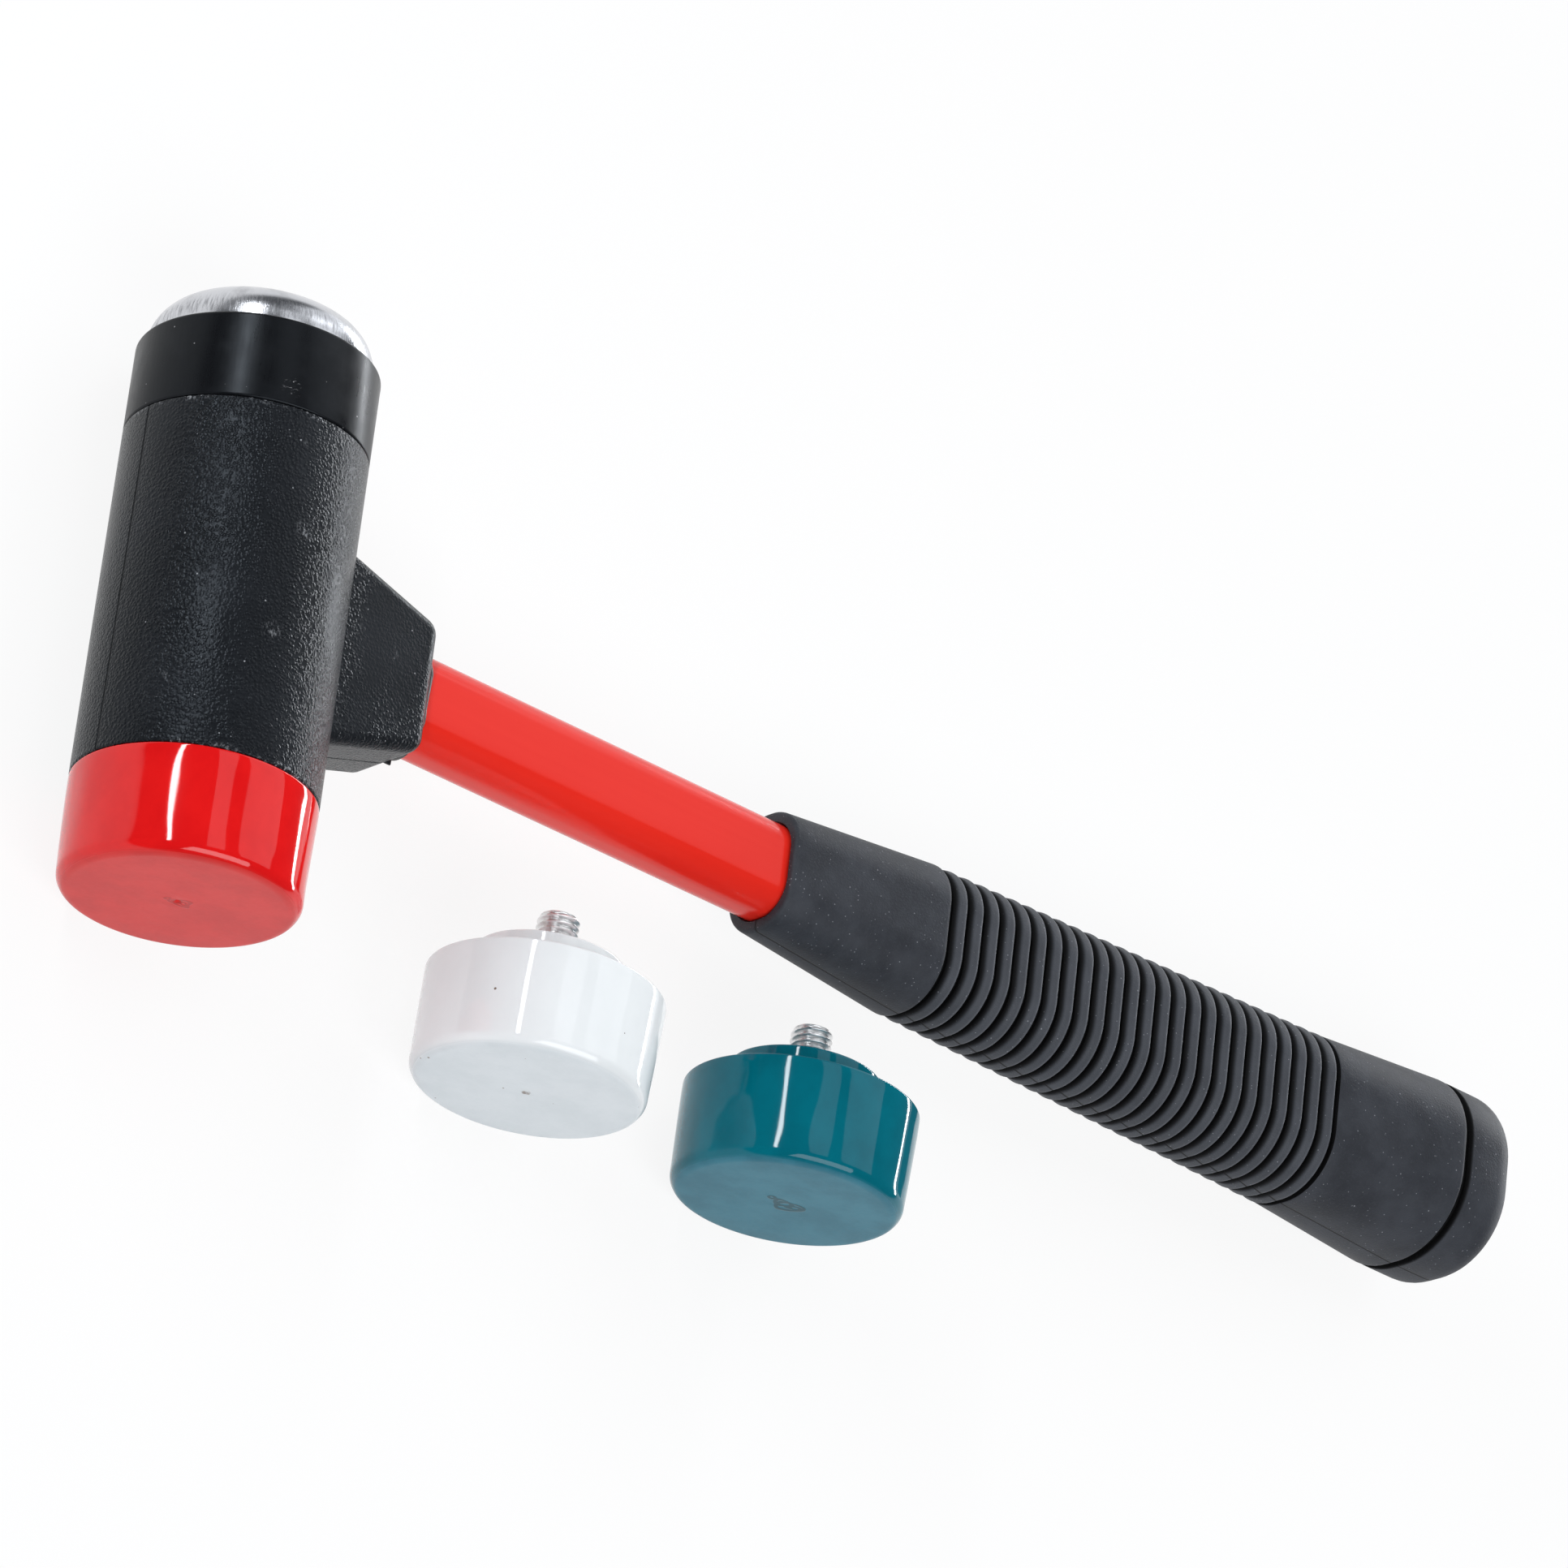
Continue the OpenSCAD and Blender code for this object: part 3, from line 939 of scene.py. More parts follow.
@dataclass(frozen=True)
class GripRubber:
    """Dusty matt rubber, parting line down the grip's side, painted shade in grooves, painted light
    on ribs.
    """

    place: Place
    ribs: tuple[float, float]
    pitch: float
    groove_w: float
    butt_groove: tuple[float, float]
    name: str = "grip_rubber"
    colour: Colour = (0.0255, 0.0280, 0.0345)
    bloom: Colour = (0.0455, 0.0495, 0.0595)
    dust: Colour = (0.34, 0.35, 0.38)
    seam: Colour = (0.0010, 0.0010, 0.0012)
    # Colour of the painted light on the rib tops and the painted highlight on the rib edges.
    painted_rib_light: Colour = (0.120, 0.128, 0.145)
    flank: float = 1.5
    line_half: float = 0.3
    wall: float = 0.08
    # Width of the painted highlight along each rib's edge.
    painted_highlight_w: float = 0.62
    rough: float = 0.54
    ior: float = 1.3

    def make(self) -> bpy.types.Material:
        """Builds the material.

        Returns:
            The material.
        """
        s = Surface(self.name)
        p = s.local(self.place)
        x, y, z = s.parts(p)
        cloud = s.noise(p, 11.0, 5.0, 0.62)
        fine = s.noise(p, 0.45, 3.0, 0.6)
        dusty = s.specks(p, 0.17, 0.75, 0.5) * (0.4 + cloud.ramp(0.3, 0.65) * 0.4)
        dusty = dusty.most(s.specks(p, 0.21, 3.3, 0.5))
        ribbed = x.above(self.ribs[0] - self.wall) * (1.0 - x.above(self.ribs[1] + self.wall))
        step = ((x - (self.ribs[0] - self.wall)) / self.pitch).fraction() * self.pitch
        # Painted light and shade: 0 in the groove and up the rib's flank, 1 on its top, so tops are
        # painted lighter and flanks darker.
        land = (step - self.groove_w).ramp(0.2, self.flank)
        # Painted highlight along each rib's edge towards the butt.
        edge = (step - (self.pitch - self.painted_highlight_w)).ramp(0.0, 0.5) * ribbed
        low, high = self.butt_groove
        butt = x.above(low - 0.05) * (1.0 - (x - high).ramp(0.0, self.flank * 0.5))
        # Painted shade: the grooves between the ribs and the butt's groove, darkened to near black.
        painted_shade_grooves = ((1.0 - land) * ribbed).most(butt)
        line = (1.0 - abs(z).ramp(self.line_half * 0.5, self.line_half)) * (-y).above(0.0)
        tint = s.mix(cloud.ramp(0.32, 0.72), self.colour, self.bloom)
        tint = s.mix(fine.ramp(0.5, 0.75) * 0.6, tint, self.bloom)
        # Painted light: the rib tops lighter, and a painted highlight along each rib's edge.
        tint = s.mix(land * ribbed * 0.27 + edge * (0.15 + fine * 0.5), tint, self.painted_rib_light)
        tint = s.mix(dusty * 0.75, tint, self.dust)
        # The parting line takes the seam's colour as a real dark joint; the grooves take it as
        # painted shade.
        tint = s.mix((line * 0.8).most(painted_shade_grooves * 0.97), tint, self.seam)
        rough = self.rough + (cloud - 0.5) * 0.2 + painted_shade_grooves * 0.4
        relief = s.bump(1.0 - line, 0.2, s.bump(fine, 0.09))
        return s.close(Base_Color=tint, Roughness=rough, Normal=relief, IOR=self.ior)


@dataclass(frozen=True)
class ZincPlate:
    """Bright zinc plate of the studs, a little dulled in the thread."""

    place: Place
    name: str
    bright: Colour = (0.80, 0.80, 0.80)
    dull: Colour = (0.46, 0.44, 0.41)
    rough: float = 0.28

    def make(self) -> bpy.types.Material:
        """Builds the material.

        Returns:
            The material.
        """
        s = Surface(self.name)
        p = s.local(self.place)
        cloud = s.noise(p, 2.2, 5.0, 0.65)
        fine = s.noise(p, 0.3, 3.0)
        tint = s.mix(cloud.ramp(0.5, 0.8) * 0.7, self.bright, self.dull)
        rough = self.rough + cloud.ramp(0.35, 0.8) * 0.12
        relief = s.bump(fine, 0.004)
        return s.close(Base_Color=tint, Roughness=rough, Metallic=1.0, Normal=relief)


@dataclass(frozen=True)
class TurnedSteel:
    """Plain turned steel of the core, with its tool marks and a film of oil."""

    place: Place
    name: str = "turned_steel"
    bright: Colour = (0.45, 0.46, 0.48)
    oily: Colour = (0.24, 0.23, 0.21)
    tool_marks: float = 2.5
    rough: float = 0.32

    def make(self) -> bpy.types.Material:
        """Builds the material.

        Returns:
            The material.
        """
        s = Surface(self.name)
        p = s.local(self.place)
        x, _, z = s.parts(p)
        rings = (x.length_with(z) * self.tool_marks).fraction()
        cloud = s.noise(p, 5.0, 4.0)
        tint = s.mix(cloud.ramp(0.4, 0.75), self.bright, self.oily)
        rough = self.rough + cloud * 0.15
        relief = s.bump(abs(rings - 0.5), 0.03)
        return s.close(Base_Color=tint, Roughness=rough, Metallic=1.0, Normal=relief)


@dataclass(frozen=True)
class Adhesive:
    """Black adhesive squeezed out round the bar."""

    place: Place
    name: str = "black_adhesive"
    colour: Colour = (0.006, 0.006, 0.0065)
    skin: Colour = (0.016, 0.016, 0.017)
    rough: float = 0.35
    ior: float = 1.48

    def make(self) -> bpy.types.Material:
        """Builds the material.

        Returns:
            The material.
        """
        s = Surface(self.name)
        p = s.local(self.place)
        lumps = s.noise(p, 1.5, 4.0)
        tint = s.mix(lumps.ramp(0.4, 0.7), self.colour, self.skin)
        rough = self.rough + lumps * 0.25
        relief = s.bump(lumps, 0.15)
        return s.close(Base_Color=tint, Roughness=rough, Normal=relief, IOR=self.ior)


@dataclass(frozen=True)
class PaperFloor:
    """White paper that keeps the shadows of what lies on it."""

    name: str = "white_paper"
    colour: Colour = (0.92, 0.92, 0.925)
    fibre: Colour = (0.90, 0.90, 0.905)
    glow: float = 0.88

    def make(self) -> bpy.types.Material:
        """Builds the material.

        Returns:
            The material.
        """
        s = Surface(self.name)
        p = s.local(Place((0.0, 0.0, 0.0)))
        cloud = s.noise(p, 30.0, 3.0)
        tint = s.mix(cloud, self.colour, self.fibre)
        relief = s.bump(s.noise(p, 0.8, 2.0), 0.01)
        paper = s.node(
            "ShaderNodeBsdfPrincipled",
            sockets={"Base Color": tint, "Roughness": 0.85, "Normal": relief},
        )
        white = s.node(
            "ShaderNodeEmission", sockets={"Color": (1.0, 1.0, 1.0, 1.0), "Strength": 1.0}
        )
        path = s.node("ShaderNodeLightPath", out="Is Camera Ray")
        seen = path.most(s.also(path, "Is Glossy Ray")).most(s.also(path, "Is Transmission Ray"))
        both = s.node("ShaderNodeMixShader", sockets={0: seen * self.glow, 1: paper, 2: white})
        s.node("ShaderNodeOutputMaterial", sockets={"Surface": both})
        return s.material


# Sub-assemblies


@dataclass
class Head:
    """Moulded head with its tapered neck, and the steel core inside it."""

    middle: Vector
    tilt: float
    body_r: float = 22.5
    body_half: float = 34.25
    rim: float = 0.5
    bore_r: float = 17.05
    bore_half: float = 28.7
    recess_r: float = 14.55
    handle_rise: float = 0.9
    neck_reach: float = 42.4
    neck_root_h: float = 37.2
    neck_mouth_h: float = 25.4
    neck_t: float = 19.6
    neck_round: float = 2.6
    neck_inside: float = 12.0
    eye: tuple[float, float, float] = (20.3, 15.3, 6.65)
    eye_inside: float = 8.0
    eye_break: float = 0.35
    mouth_break: float = 0.4
    flash_at: tuple[float, float, float] = (41.0, -11.2, 0.1)
    flash_half: float = 1.1
    flash_reach: float = 2.0
    flash_t: float = 0.9
    overrun: float = 1.0
    least_round: float = 0.2
    corner_steps: int = 8
    turn_steps: int = 192

    def place(self) -> Place:
        """Axes of the head: y along it, x towards the handle's butt."""
        return Place(tuple(self.middle), (0.0, self.tilt, 0.0))

    def end(self, side: int) -> Place:
        """Axes that stand on one end of the head, z outwards; 1 is the steel end."""
        origin = self.middle + Vector((0.0, side * self.body_half * MM, 0.0))
        return Place(tuple(origin), (-side * math.pi / 2, 0.0, 0.0))

    def _round(self, profile: Sequence[Point]) -> Skin:
        """A solid turned round the head's own axis, alike towards both ends.

        Args:
            profile: Radius and distance from the middle, from the axis outwards.

        Returns:
            The solid.
        """
        skin = Skin()
        skin.lathe([*profile, *((r, -z) for r, z in reversed(profile))], self.turn_steps)
        skin.mesh.transform(Matrix.Rotation(-math.pi / 2, 4, "X"))
        return skin

    def _body(self) -> Skin:
        """The round body with its eased rims, still solid."""
        half, rim = self.body_half, self.rim
        return self._round([(0.0, half), *arc((self.body_r - rim, half - rim), rim, 90.0, 0.0, 5)])

    def _bore(self) -> Skin:
        """The space inside the body: a bore for the core and a recess at each end.

        Returns:
            The solid to cut away.
        """
        top = self.body_half + self.overrun
        mouth = self.recess_r + self.mouth_break + self.overrun
        recess = [(0.0, top), (mouth, top), (self.recess_r, self.body_half - self.mouth_break)]
        bore = [(self.recess_r, self.bore_half), (self.bore_r, self.bore_half)]
        return self._round([*recess, *bore])

    def _eye(self) -> Skin:
        """The hole for the bar, opened a little at the neck's mouth.

        Returns:
            The solid to cut away.
        """
        width, thick, corner = self.eye
        rings = []
        for x, grow in (
            (self.eye_inside, 0.0),
            (self.neck_reach - self.eye_break, 0.0),
            (self.neck_reach + self.overrun, self.eye_break + self.overrun),
        ):
            outline = oblong(width + 2 * grow, thick + 2 * grow, corner + grow, self.corner_steps)
            rings.append([v + Vector((0.0, self.handle_rise, 0.0)) for v in section(x, outline)])
        skin = Skin()
        skin.loft(rings)
        return skin

    def _neck_ring(self, x: float, inset: float = 0.0) -> list[Vector]:
        """Section of the neck.

        Args:
            x: Place along the handle.
            inset: How far the section is drawn in all round.

        Returns:
            The section's points.
        """
        share = (x - self.body_r) / (self.neck_reach - self.body_r)
        height = self.neck_root_h + (self.neck_mouth_h - self.neck_root_h) * share
        corner = max(self.neck_round - inset, self.least_round)
        outline = oblong(height - 2 * inset, self.neck_t - 2 * inset, corner, self.corner_steps)
        return [v + Vector((0.0, self.handle_rise, 0.0)) for v in section(x, outline)]

    def _neck(self) -> Skin:
        """The tapered neck with its mouth rounded over, still solid.

        Returns:
            The solid to join.
        """
        turn_x = self.neck_reach - self.neck_round
        rings = [self._neck_ring(self.neck_inside), self._neck_ring(turn_x)]
        for turn in (18, 36, 54, 72, 90):
            a = math.radians(turn)
            inset = self.neck_round * (1.0 - math.cos(a))
            rings.append(self._neck_ring(turn_x + self.neck_round * math.sin(a), inset))
        skin = Skin()
        skin.loft(rings)
        return skin

    def _flash(self) -> Skin:
        """The nib that the mould's parting left at the mouth, on the red face's side.

        Returns:
            The solid to join.
        """
        x, y, z = self.flash_at
        rings = []
        for share in (-1.0, -0.6, 0.6, 1.0):
            size = self.flash_t * (1.0 if abs(share) < 1.0 else 0.6)
            outline = oblong(self.flash_reach, size, 0.45 * size, 4)
            at = x + share * self.flash_half
            rings.append([v + Vector((0.0, y, z)) for v in section(at, outline)])
        skin = Skin()
        skin.loft(rings)
        return skin

    def build(self, nodes: dict[str, bpy.types.Object]) -> None:
        """Builds the moulding and dresses the core.

        Args:
            nodes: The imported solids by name.
        """
        skin = self._body()
        for joined in (self._neck(), self._flash()):
            skin.combine(joined, "UNION")
        for cut in (self._bore(), self._eye()):
            skin.combine(cut, "DIFFERENCE")
        nylon = GrainedNylon(self.place()).make()
        head = skin.piece("moulded_head", self.place(), nylon)
        seat(head, Body.HAMMER, "head_shell")
        core = nodes["head_core"]
        steel = TurnedSteel(self.place()).make()
        if not core.material_slots:
            core.data.materials.append(steel)
        for part in core.material_slots:
            part.material = steel
        log.info("head_core: kept, turned steel")


@dataclass
class Handle:
    """Glass-fibre bar and the adhesive that holds it in the head."""

    place: Place
    start: float = -9.0
    end: float = 310.9
    width: float = 19.0
    thickness: float = 14.0
    corner: float = 6.0
    bond: float = 0.6
    mouth: float = 42.4
    lip: float = 1.1
    run_share: float = 2.2
    end_break: float = 0.4
    stations: int = 40
    skin_gap: float = 0.05

    def _outline(self, grow: float, steps: int = 16) -> list[Point]:
        """Section of the bar, larger all round by grow."""
        return oblong(
            self.width + 2 * grow, self.thickness + 2 * grow, self.corner + grow, steps
        )

    def _bar(self) -> bpy.types.Object:
        """Builds the bar with its ends eased.

        Returns:
            The piece.
        """
        eased = self.end_break
        rows = [(self.start, -eased), (self.start + eased, 0.0)]
        for i in range(1, self.stations):
            rows.append((self.start + (self.end - self.start) * i / self.stations, 0.0))
        rows += [(self.end - eased, 0.0), (self.end, -eased)]
        skin = Skin()
        skin.loft([section(x, self._outline(grow)) for x, grow in rows])
        return skin.piece("fibre_bar", self.place, FibreBar(self.place).make())

    def _bead(self) -> bpy.types.Object:
        """Builds the adhesive, with an uneven bead at the neck's mouth.

        Returns:
            The piece.
        """
        skin = Skin()
        rings = [section(self.start, self._outline(grow)) for grow in (self.skin_gap, self.bond)]
        for share, grow in ((-1.0, 0.0), (0.25, 0.12), (0.7, 0.02), (1.0, -0.35)):
            ring = []
            for y, z in self._outline(self.bond + grow):
                rough = noise.noise(Vector((y, z, 7.0)) * 0.33)
                fat = 1.0 + 0.35 * noise.noise(Vector((y, z, 3.0)) * 0.5)
                run = min(max((-y - z / 3 - self.width / 2 + 1.5) / 2.0, 0.0), 1.0)
                fat += run * self.run_share
                x = self.mouth + share * self.lip * (fat if share > 0 else 1.0)
                swell = 1.0 + (0.012 * rough + 0.05 * run if 0 < share < 1 else 0.0)
                ring.append(Vector((x, y * swell, z * swell)))
            rings.append(ring)
        rings.append(section(self.mouth + self.lip * 0.8, self._outline(0.03)))
        skin.loft(rings, ring_closed=True)
        return skin.piece("adhesive_bead", self.place, Adhesive(self.place).make(), 50.0)

    def build(self) -> None:
        """Builds the bar and its adhesive."""
        seat(self._bar(), Body.HAMMER, "handle_bar")
        seat(self._bead(), Body.HAMMER, "handle_bond")


@dataclass
class Grip:
    """Rubber sleeve: smooth front, ribs on a tapered core, flared rear and round butt."""

    place: Place
    start: float = 132.6
    front_len: float = 38.0
    rib_count: int = 25
    pitch: float = 4.14
    groove_w: float = 1.2
    groove_depth: float = 1.4
    rear_len: float = 32.0
    butt_groove_w: float = 1.6
    butt_len: float = 14.0
    butt_round: float = 6.0
    front: Point = (24.4, 18.0)
    rib_first: Point = (30.8, 23.2)
    rib_last: Point = (35.8, 27.6)
    butt: Point = (39.4, 36.4)
    corner_share: float = 0.92
    land: float = 0.8
    edge: float = 0.35
    lip_round: float = 0.8
    bore_break: float = 0.4
    taper_steps: int = 12
    corner_steps: int = 16
    rib_round_steps: int = 72
    rib_over_steps: int = 32
    rib_slope: float = 0.7
    rib_squareness: float = 0.15
    bar: tuple[float, float, float] = (19.3, 14.3, 6.15)
    bar_end: float = 311.2
    stations: list[list[Vector]] = field(default_factory=list)

    def rib_start(self) -> float:
        """Where the smooth front ends."""
        return self.start + self.front_len

    def rib_end(self) -> float:
        """Where the smooth rear begins."""
        return self.rib_start() + self.rib_count * self.pitch + self.groove_w

    def _ring(self, x: float, size: Point, grow: float = 0.0) -> None:
        """Adds a section to the sleeve.

        Args:
            x: Place along the handle.
            size: Height and thickness of the section.
            grow: How much larger it is all round.
        """
        wide, thick = size[0] + 2 * grow, size[1] + 2 * grow
        corner = self.corner_share * min(size) / 2 + grow
        self.stations.append(section(x, oblong(wide, thick, corner, self.corner_steps)))

    def _run(self, x0: float, size0: Point, x1: float, size1: Point, steps: int) -> None:
        """Adds sections that change evenly from one size to another.

        Args:
            x0: Place of the first size.
            size0: Height and thickness there.
            x1: Place of the second size.
            size1: Height and thickness there.
            steps: Number of steps; the first place itself is left out.
        """
        for i in range(1, steps + 1):
            share = i / steps
            size = tuple(a + (b - a) * share for a, b in zip(size0, size1))
            self._ring(x0 + (x1 - x0) * share, size)

    def _edge_down(self, x: float, size: Point) -> None:
        """Rounds the sleeve over an edge and down to a groove's floor.

        Args:
            x: Place of the groove's wall.
            size: Height and thickness of the sleeve there.
        """
        for turn in (0, 30, 60, 90):
            a = math.radians(turn)
            self._ring(x - self.edge * (1 - math.sin(a)), size, -self.edge * (1 - math.cos(a)))
        self._ring(x, size, -self.groove_depth)

    def _edge_up(self, x: float, size: Point) -> None:
        """Climbs from a groove's floor and rounds over the edge.

        Args:
            x: Place of the groove's wall.
            size: Height and thickness of the sleeve there.
        """
        self._ring(x, size, -self.groove_depth)
        for turn in (90, 60, 30, 0):
            a = math.radians(turn)
            self._ring(x + self.edge * (1 - math.sin(a)), size, -self.edge * (1 - math.cos(a)))

    def _sleeve(self) -> Skin:
        """Builds the sleeve without its ribs.

        Returns:
            The mesh in the making.
        """
        first, last = self.rib_start(), self.rib_end()
        lip = last + self.rear_len
        butt_start = lip + self.butt_groove_w
        end = butt_start + self.butt_len
        bore = oblong(*self.bar, self.corner_steps)
        point = [(0.0, 0.0)] * len(bore)
        self.stations = [section(self.bar_end, point), section(self.bar_end, bore)]
        self.stations.append(section(self.start + self.bore_break, bore))
        opened = 2 * self.bore_break
        self._ring(self.start, (self.bar[0] + opened, self.bar[1] + opened))
        lip_r = self.lip_round
        for turn in (0, 30, 60, 90):
            a = math.radians(turn)
            x = self.start + lip_r * (1 - math.cos(a))
            self._ring(x, self.front, -lip_r * (1 - math.sin(a)))
        front_end = first - self.land
        self._run(self.start + lip_r, self.front, front_end, self.rib_first, self.taper_steps)
        self._edge_down(first, self.rib_first)
        self._edge_up(last, self.rib_last)
        self._run(last + self.edge, self.rib_last, lip - self.land, self.butt, self.taper_steps)
        self._edge_down(lip, self.butt)
        self._edge_up(butt_start, self.butt)
        self._ring(end - self.butt_round, self.butt)
        for turn in range(10, 91, 10):
            a = math.radians(turn)
            x = end - self.butt_round * (1 - math.sin(a))
            self._ring(x, self.butt, -self.butt_round * (1 - math.cos(a)))
        self.stations.append(section(end, point))
        skin = Skin()
        skin.loft(self.stations)
        return skin

    def _ribs(self, rubber: bpy.types.Material) -> bpy.types.Mesh:
        """Makes the ribs by a rule: one rounded ring, repeated and scaled along the handle.

        Args:
            rubber: Finish of the grip.

        Returns:
            The ribs' mesh.
        """
        length = self.rib_end() - self.rib_start()
        gain = [(b - a) / length * self.pitch for a, b in zip(self.rib_first, self.rib_last)]
        first = [a + g for a, g in zip(self.rib_first, gain)]
        shape = GridShape(
            "grip_ribs",
            {
                "Count": self.rib_count,
                "Pitch": self.pitch,
                "First place": self.rib_start() + self.groove_w,
                "Land": self.pitch - self.groove_w,
                "Depth": self.groove_depth,
                "Height": first[0],
                "Thickness": first[1],
                "Height gain": gain[0],
                "Thickness gain": gain[1],
                "Corner": self.corner_share * min(first) / 2,
                "Slope": self.rib_slope,
                "Squareness": self.rib_squareness,
            },
        )
        steps = self.rib_round_steps
        mesh, round_share, over_share = shape.grid(steps + 1, self.rib_over_steps + 1)
        theta = (round_share + 0.5 / steps) * (2 * math.pi)
        phi = (over_share + 0.5 / self.rib_over_steps) * (2 * math.pi)
        square = shape.size("Squareness")
        side, up = phi.cosine(), phi.sine()
        run = side.sign() * abs(side) ** square
        swell = up.sign() * abs(up) ** square
        land, depth = shape.size("Land"), shape.size("Depth")
        shoulder = ((1.0 - run) * 0.5) ** 3.0 * swell.above(0.0)
        outward = (swell - 1.0) * depth - shape.size("Slope") * shoulder
        corner = shape.size("Corner")
        east, north = theta.cosine(), theta.sine()
        wide = shape.size("Height") * 0.5 - corner
        thick = shape.size("Thickness") * 0.5 - corner
        where = shape.vector(
            (run + 1.0) * land * 0.5,
            east.sign() * wide + (corner + outward) * east,
            north.sign() * thick + (corner + outward) * north,
        )
        ring = shape.bend(mesh, where)
        line = shape.node(
            "GeometryNodeMeshLine",
            {"mode": "OFFSET"},
            {
                "Count": shape.size("Count"),
                "Start Location": shape.vector(shape.size("First place"), 0.0, 0.0),
                "Offset": shape.vector(shape.size("Pitch"), 0.0, 0.0),
            },
        )
        index = shape.node("GeometryNodeInputIndex")
        scale = shape.vector(
            1.0,
            1.0 + index * shape.size("Height gain") / shape.size("Height"),
            1.0 + index * shape.size("Thickness gain") / shape.size("Thickness"),
        )
        ribs = shape.node(
            "GeometryNodeInstanceOnPoints",
            sockets={"Points": line, "Instance": ring, "Scale": scale},
        )
        return shape.make(ribs, rubber)

    def build(self) -> None:
        """Builds the sleeve and its ribs as two pieces with one rubber finish."""
        lip = self.rib_end() + self.rear_len
        rubber = GripRubber(
            self.place,
            (self.rib_start(), self.rib_end()),
            self.pitch,
            self.groove_w,
            (lip, lip + self.butt_groove_w),
        ).make()
        sleeve = self._sleeve().piece("rubber_sleeve", self.place, rubber, 32.0)
        seat(sleeve, Body.HAMMER, "grip")
        ribs = Skin()
        mesh = self._ribs(rubber)
        ribs.add(mesh)
        bpy.data.meshes.remove(mesh)
        seat(ribs.piece("rubber_ribs", self.place, rubber, 60.0), Body.HAMMER, "")


@dataclass
class SteelFace:
    """Domed steel face and the collar round it, on the steel end of the head."""

    place: Place
    body_r: float = 22.5
    rim: float = 0.5
    collar_len: float = 16.9
    collar_bore: float = 21.0
    collar_floor: float = 3.0
    dome_r: float = 20.85
    dome_band: float = 0.9
    dome_h: float = 10.5
    shoulder: float = 8.0
    boss_r: float = 14.4
    boss_h: float = 5.4
    stud_r: float = 4.0
    stud_reach: float = 9.1
    seat_gap: float = 0.05
    boss_clear: float = 0.15
    collar_edge: float = 0.7
    collar_break: float = 0.15
    stud_break: float = 0.5
    boss_break: float = 0.3
    turn_steps: int = 192

    def _collar(self) -> bpy.types.Object:
        """Builds the collar.

        Returns:
            The piece.
        """
        rim, top, edge = self.rim, self.collar_len, self.collar_edge
        inner = self.boss_r + self.boss_clear
        profile = [(inner, 0.0)]
        profile += arc((self.body_r - rim, rim), rim, -90.0, 0.0, 5)
        profile += arc((self.body_r - edge, top - edge), edge, 0.0, 90.0, 6)
        profile += [(self.collar_bore + self.collar_break, top)]
        profile += [(self.collar_bore, top - self.collar_break)]
        profile += [(self.collar_bore, self.collar_floor), (inner, self.collar_floor)]
        skin = Skin()
        skin.lathe(profile, self.turn_steps)
        return skin.piece("face_collar", self.place, SatinSleeve(self.place).make())

    def _dome(self) -> bpy.types.Object:
        """Builds the steel face, turned in one piece with its stud.

        Returns:
            The piece.
        """
        foot = self.collar_len + self.dome_band
        shoulder_x = self.dome_r - self.shoulder
        rise = self.dome_h - self.shoulder
        drop = (shoulder_x**2 - rise**2) / (2 * rise)
        crown_r = self.dome_h + drop
        lean = math.degrees(math.atan2(drop, shoulder_x))
        slug = self.collar_floor + self.seat_gap
        tip = -self.boss_h - self.stud_reach
        profile = [(0.0, tip), (self.stud_r - self.stud_break, tip)]
        profile += [(self.stud_r, tip + self.stud_break), (self.stud_r, -self.boss_h)]
        profile += [(self.boss_r - self.boss_break, -self.boss_h)]
        profile += [(self.boss_r, -self.boss_h + self.boss_break)]
        profile += [(self.boss_r, slug), (self.dome_r, slug)]
        profile += arc((shoulder_x, foot), self.shoulder, 0.0, lean, 20)
        profile += arc((0.0, foot - drop), crown_r, lean, 90.0, 20)[1:]
        skin = Skin()
        skin.lathe(profile, self.turn_steps)
        steel = PolishedSteel(self.place, foot).make()
        return skin.piece("steel_dome", self.place, steel)

    def build(self) -> None:
        """Builds the collar and the dome."""
        seat(self._collar(), Body.COLLAR, "steel_face_collar")
        seat(self._dome(), Body.DOME, "steel_face")


class FaceColour(Enum):
    """The three plastic faces."""

    RED = "red"
    WHITE = "white"
    TEAL = "teal"


@dataclass(frozen=True)
class Moulding:
    """What the mould left in a face: waves in its side and a pit where the gate was."""

    wave: float
    seed: float
    pit: tuple[Point, ...]


MOULDINGS = {
    FaceColour.RED: Moulding(
        0.14, 0.0, ((0.0, 0.6), (0.3, 0.55), (0.65, 0.14), (1.1, 0.04), (2.2, -0.03))
    ),
    FaceColour.WHITE: Moulding(0.05, 40.0, ((0.0, 0.3), (0.5, 0.25), (0.9, 0.06), (2.0, 0.02))),
    FaceColour.TEAL: Moulding(0.16, 80.0, ((0.0, 0.1), (1.2, 0.09), (2.1, 0.03), (2.9, 0.01))),
}


